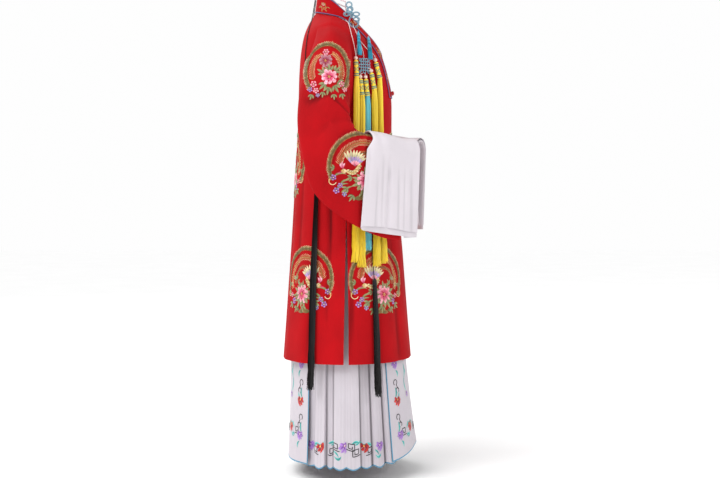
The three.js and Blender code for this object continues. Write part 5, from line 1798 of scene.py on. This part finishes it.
def red_bloom(x, y, size):
    shapes = []
    for way in (-1, 1):
        end = (x + way * size * 1.25, y + size * 0.1)
        shapes += scroll((x, y + size * 0.6), end, size * 0.42, way * 0.22)
    return shapes + bloom((x, y + size * 0.55), size, SKIRT_RED_DARK, SKIRT_RED)


def leaf_scroll(x, y, flip=1):
    shapes = scroll((x, y), (x + flip * 24, y - 5), 8, 0.28)
    return shapes + scroll((x + flip * 8, y - 3), (x + flip * 30, y + 8), 6, -0.2)


print("a fret's thread is", round(20 * sum(FRET_LEGS)), "mm long")


# %% The border's order on each fold
# The turns between which each fold lies, and its motifs: kind, place, then size, or -1 to mirror it.
BORDER_FOLDS = (((54.7, 66), (("purple", -2, 2, 21), ("scroll", 2, -18, -1))),
                ((66.7, 78), (("fret", 12, -9, 1), ("red", -7, 0, 21))),
                ((78.7, 90), (("fret", 11, -9, -1), ("fret", -9, 8, 1), ("scroll", -4, 19, 1))),
                ((90, 102), (("purple", 15, 3, 26), ("scroll", 4, -18, -1), ("fret", -14, 7, -1))),
                ((102.7, 111), (("fret", 5, -9, 1), ("scroll", -6, 15, 1))),
                ((111.7, 122), (("red", 5, 0, 21), ("fret", -14, -7, -1))),
                ((122.7, 133), (("purple", -6, 2, 21), ("scroll", 10, -14, 1))))
BORDER_HEIGHT = 58         # how far the border's middle is above the hem


def motif(kind, x, y, size):
    if kind == "purple":
        return purple_bloom(x, y, size)
    if kind == "red":
        return red_bloom(x, y, size)
    if kind == "scroll":
        return leaf_scroll(x, y, size)
    return shifted(fret(20, size), x, y)


def hem_row(turn):
    """The row whose cloth is BORDER_HEIGHT above the hem."""
    rows = np.linspace(4.6, SKIRT_HEM, 57)
    run = travelled(skirt_at(turn, rows, 0))
    return float(np.interp(run[-1] - BORDER_HEIGHT, run, rows))


def gore_border(side):
    designs = []
    for (first, last), motifs in BORDER_FOLDS:
        def fold(turn, row, first=first, last=last):
            return pleat_point(np.clip(turn, first + 0.05, last - 0.05), row) * mirror(side)

        middle = (first + last) / 2
        shapes = [s for kind, x, y, size in motifs for s in motif(kind, x, y, size)]
        lay = tape(fold, (middle, hem_row(middle)), ((last - first) / 2, 0.85), (-1, -1), (31, 41))
        designs.append((shapes, lay, (0, 0)))
    return designs


for hand, side in HANDS:
    sew(f"hem_border_{hand}", gore_border(side))


# %% The panels' edges and lower border
def strip_motifs():
    """From the top down, between two climbing stems."""
    shapes, height = [], 0.0
    for kind in ("purple", "hooks", "red", "hooks", "purple"):
        if kind == "purple":
            shapes += purple_bloom(0, height, 21) + scroll((4, height - 16), (12, height - 36), 8, 0.25)
            height -= 58
        elif kind == "red":
            shapes += bloom((0, height + 10), 22, SKIRT_RED_DARK, SKIRT_RED)
            shapes += scroll((2, height + 10), (12, height + 28), 7, -0.2)
            height -= 52
        else:
            shapes += shifted(hook(17), -3, height + 6) + shifted(hook(15, -1), 6, height - 18)
            shapes += scroll((-6, height - 8), (-10, height - 40), 8, 0.2)
            height -= 52
    return shapes


def lower_motifs():
    """Half of the panel's lower border, from its edge towards the middle."""
    shapes = shifted(fret(19, -1), 32, 2) + leaf_scroll(44, -15)
    return shapes + red_bloom(80, 3, 24) + shifted(fret(19), 124, -3)


def tall_motifs():
    """A long stem below the robe's hem, with one hanging flower and a small one at its foot."""
    shapes = scroll((0, 40), (-6, -4), 9, 0.2) + scroll((-4, 0), (6, -44), 7, -0.2)
    shapes += scroll((0, 26), (14, 8), 7, 0.2) + bloom((2, 66), 18, (190, 70, 92), (240, 150, 150), -80)
    return shapes + flower((8, -54), 10, 5, SKIRT_PURPLE, (196, 160, 214), CREAM, 0, 2)


def panel_surface(turn, row):
    return panel_point(turn % 360, row)


def panel_row(turn, height):
    rows = np.linspace(0.5, SKIRT_HEM, 221)
    heights = skirt_at(turn, rows, 0)[:, 2] + SHOULDER_HEIGHT
    return float(np.interp(-height, -heights, rows))


# Each design's turn beside the panel's middle, height, reach, steps of the tape, and place on it.
PANEL_DESIGNS = ((strip_motifs, 38.5, 230, (9, 1.9), (121, 31), (0, 112)),
                 (lower_motifs, 22, 142, (24, 0.7), (31, 81), (-74, 0)),
                 (tall_motifs, 21, 300, (14, 1.4), (81, 41), (0, 0)))
for name, middle in (("front_panel_flowers", 0), ("back_panel_flowers", 180)):
    designs = []
    for side in (-1, 1):
        for motifs, off, height, reach, steps, place in PANEL_DESIGNS:
            turn = middle + side * off
            lay = tape(panel_surface, (turn, panel_row(turn, height)), reach, (-side, -1), steps)
            designs.append((motifs(), lay, place))
    sew(name, designs)

# %% [markdown]
# ## Floor and light
# A pale floor and a bright even surround keep the colours true. One high sun, so wide that its shadows
# are soft, and three soft lights give the folds a light and a dark side. The floor is part of the
# stage, not of the costume.

# %% Build the stage
FLOOR_HALF = 14.0          # metres


def stage_floor():
    z = -SHOULDER_HEIGHT * MM
    corners = [(x * FLOOR_HALF, y * FLOOR_HALF, z) for x, y in ((-1, -1), (1, -1), (1, 1), (-1, 1))]
    mesh = bpy.data.meshes.new("floor")
    mesh.from_pydata(corners, [], [(0, 1, 2, 3)])
    finish, nodes, links, shader = new_finish("pale floor", 0.9)
    tone = noise(nodes, links, 3, 2)
    links.new(two_tone(nodes, links, tone, (252, 252, 252), (254, 254, 254)), shader.inputs["Base Color"])
    mesh.materials.append(finish)
    floor = into_scene("floor", mesh)


def soft_light(name, place, size, power, target=(0, 0, -0.7)):
    data = bpy.data.lights.new(name, "AREA")
    data.energy = power
    data.size = size
    lamp = into_scene(name, data)
    lamp.location = place
    look_along(lamp, Vector(target) - Vector(place))


def high_sun(power, width, direction):
    data = bpy.data.lights.new("high soft light", "SUN")
    data.energy = power
    data.angle = math.radians(width)
    look_along(into_scene("high soft light", data), Vector(direction))


stage_floor()
high_sun(1.48, 46, (0.45, -0.55, -0.95))
soft_light("key", (-2.6, 3.0, 1.8), 1.6, 34)
soft_light("fill", (-2.6, -3.2, 1.2), 2.0, 44)
soft_light("back light", (3.2, 2.4, 2.4), 2.4, 55)
print("lamps:", [lamp.name for lamp in bpy.data.lights])

# %% The surround
world = bpy.data.worlds.new("studio")
world.use_nodes = True
nodes, links = world.node_tree.nodes, world.node_tree.links
surround = nodes["Background"]
surround.inputs["Color"].default_value = (1, 1, 1, 1)
surround.inputs["Strength"].default_value = 0.64
# What the lens sees behind the floor is plain white paper; it adds no light of its own.
paper = nodes.new("ShaderNodeBackground")
paper.inputs["Color"].default_value = (1, 1, 1, 1)
paper.inputs["Strength"].default_value = 0.99
ray = nodes.new("ShaderNodeLightPath")
either = nodes.new("ShaderNodeMixShader")
links.new(ray.outputs["Is Camera Ray"], either.inputs["Fac"])
links.new(surround.outputs["Background"], either.inputs[1])
links.new(paper.outputs["Background"], either.inputs[2])
links.new(either.outputs["Shader"], nodes["World Output"].inputs["Surface"])
print("surround:", len(nodes), "nodes")
bpy.context.scene.world = world
bpy.context.scene.view_settings.view_transform = "Standard"
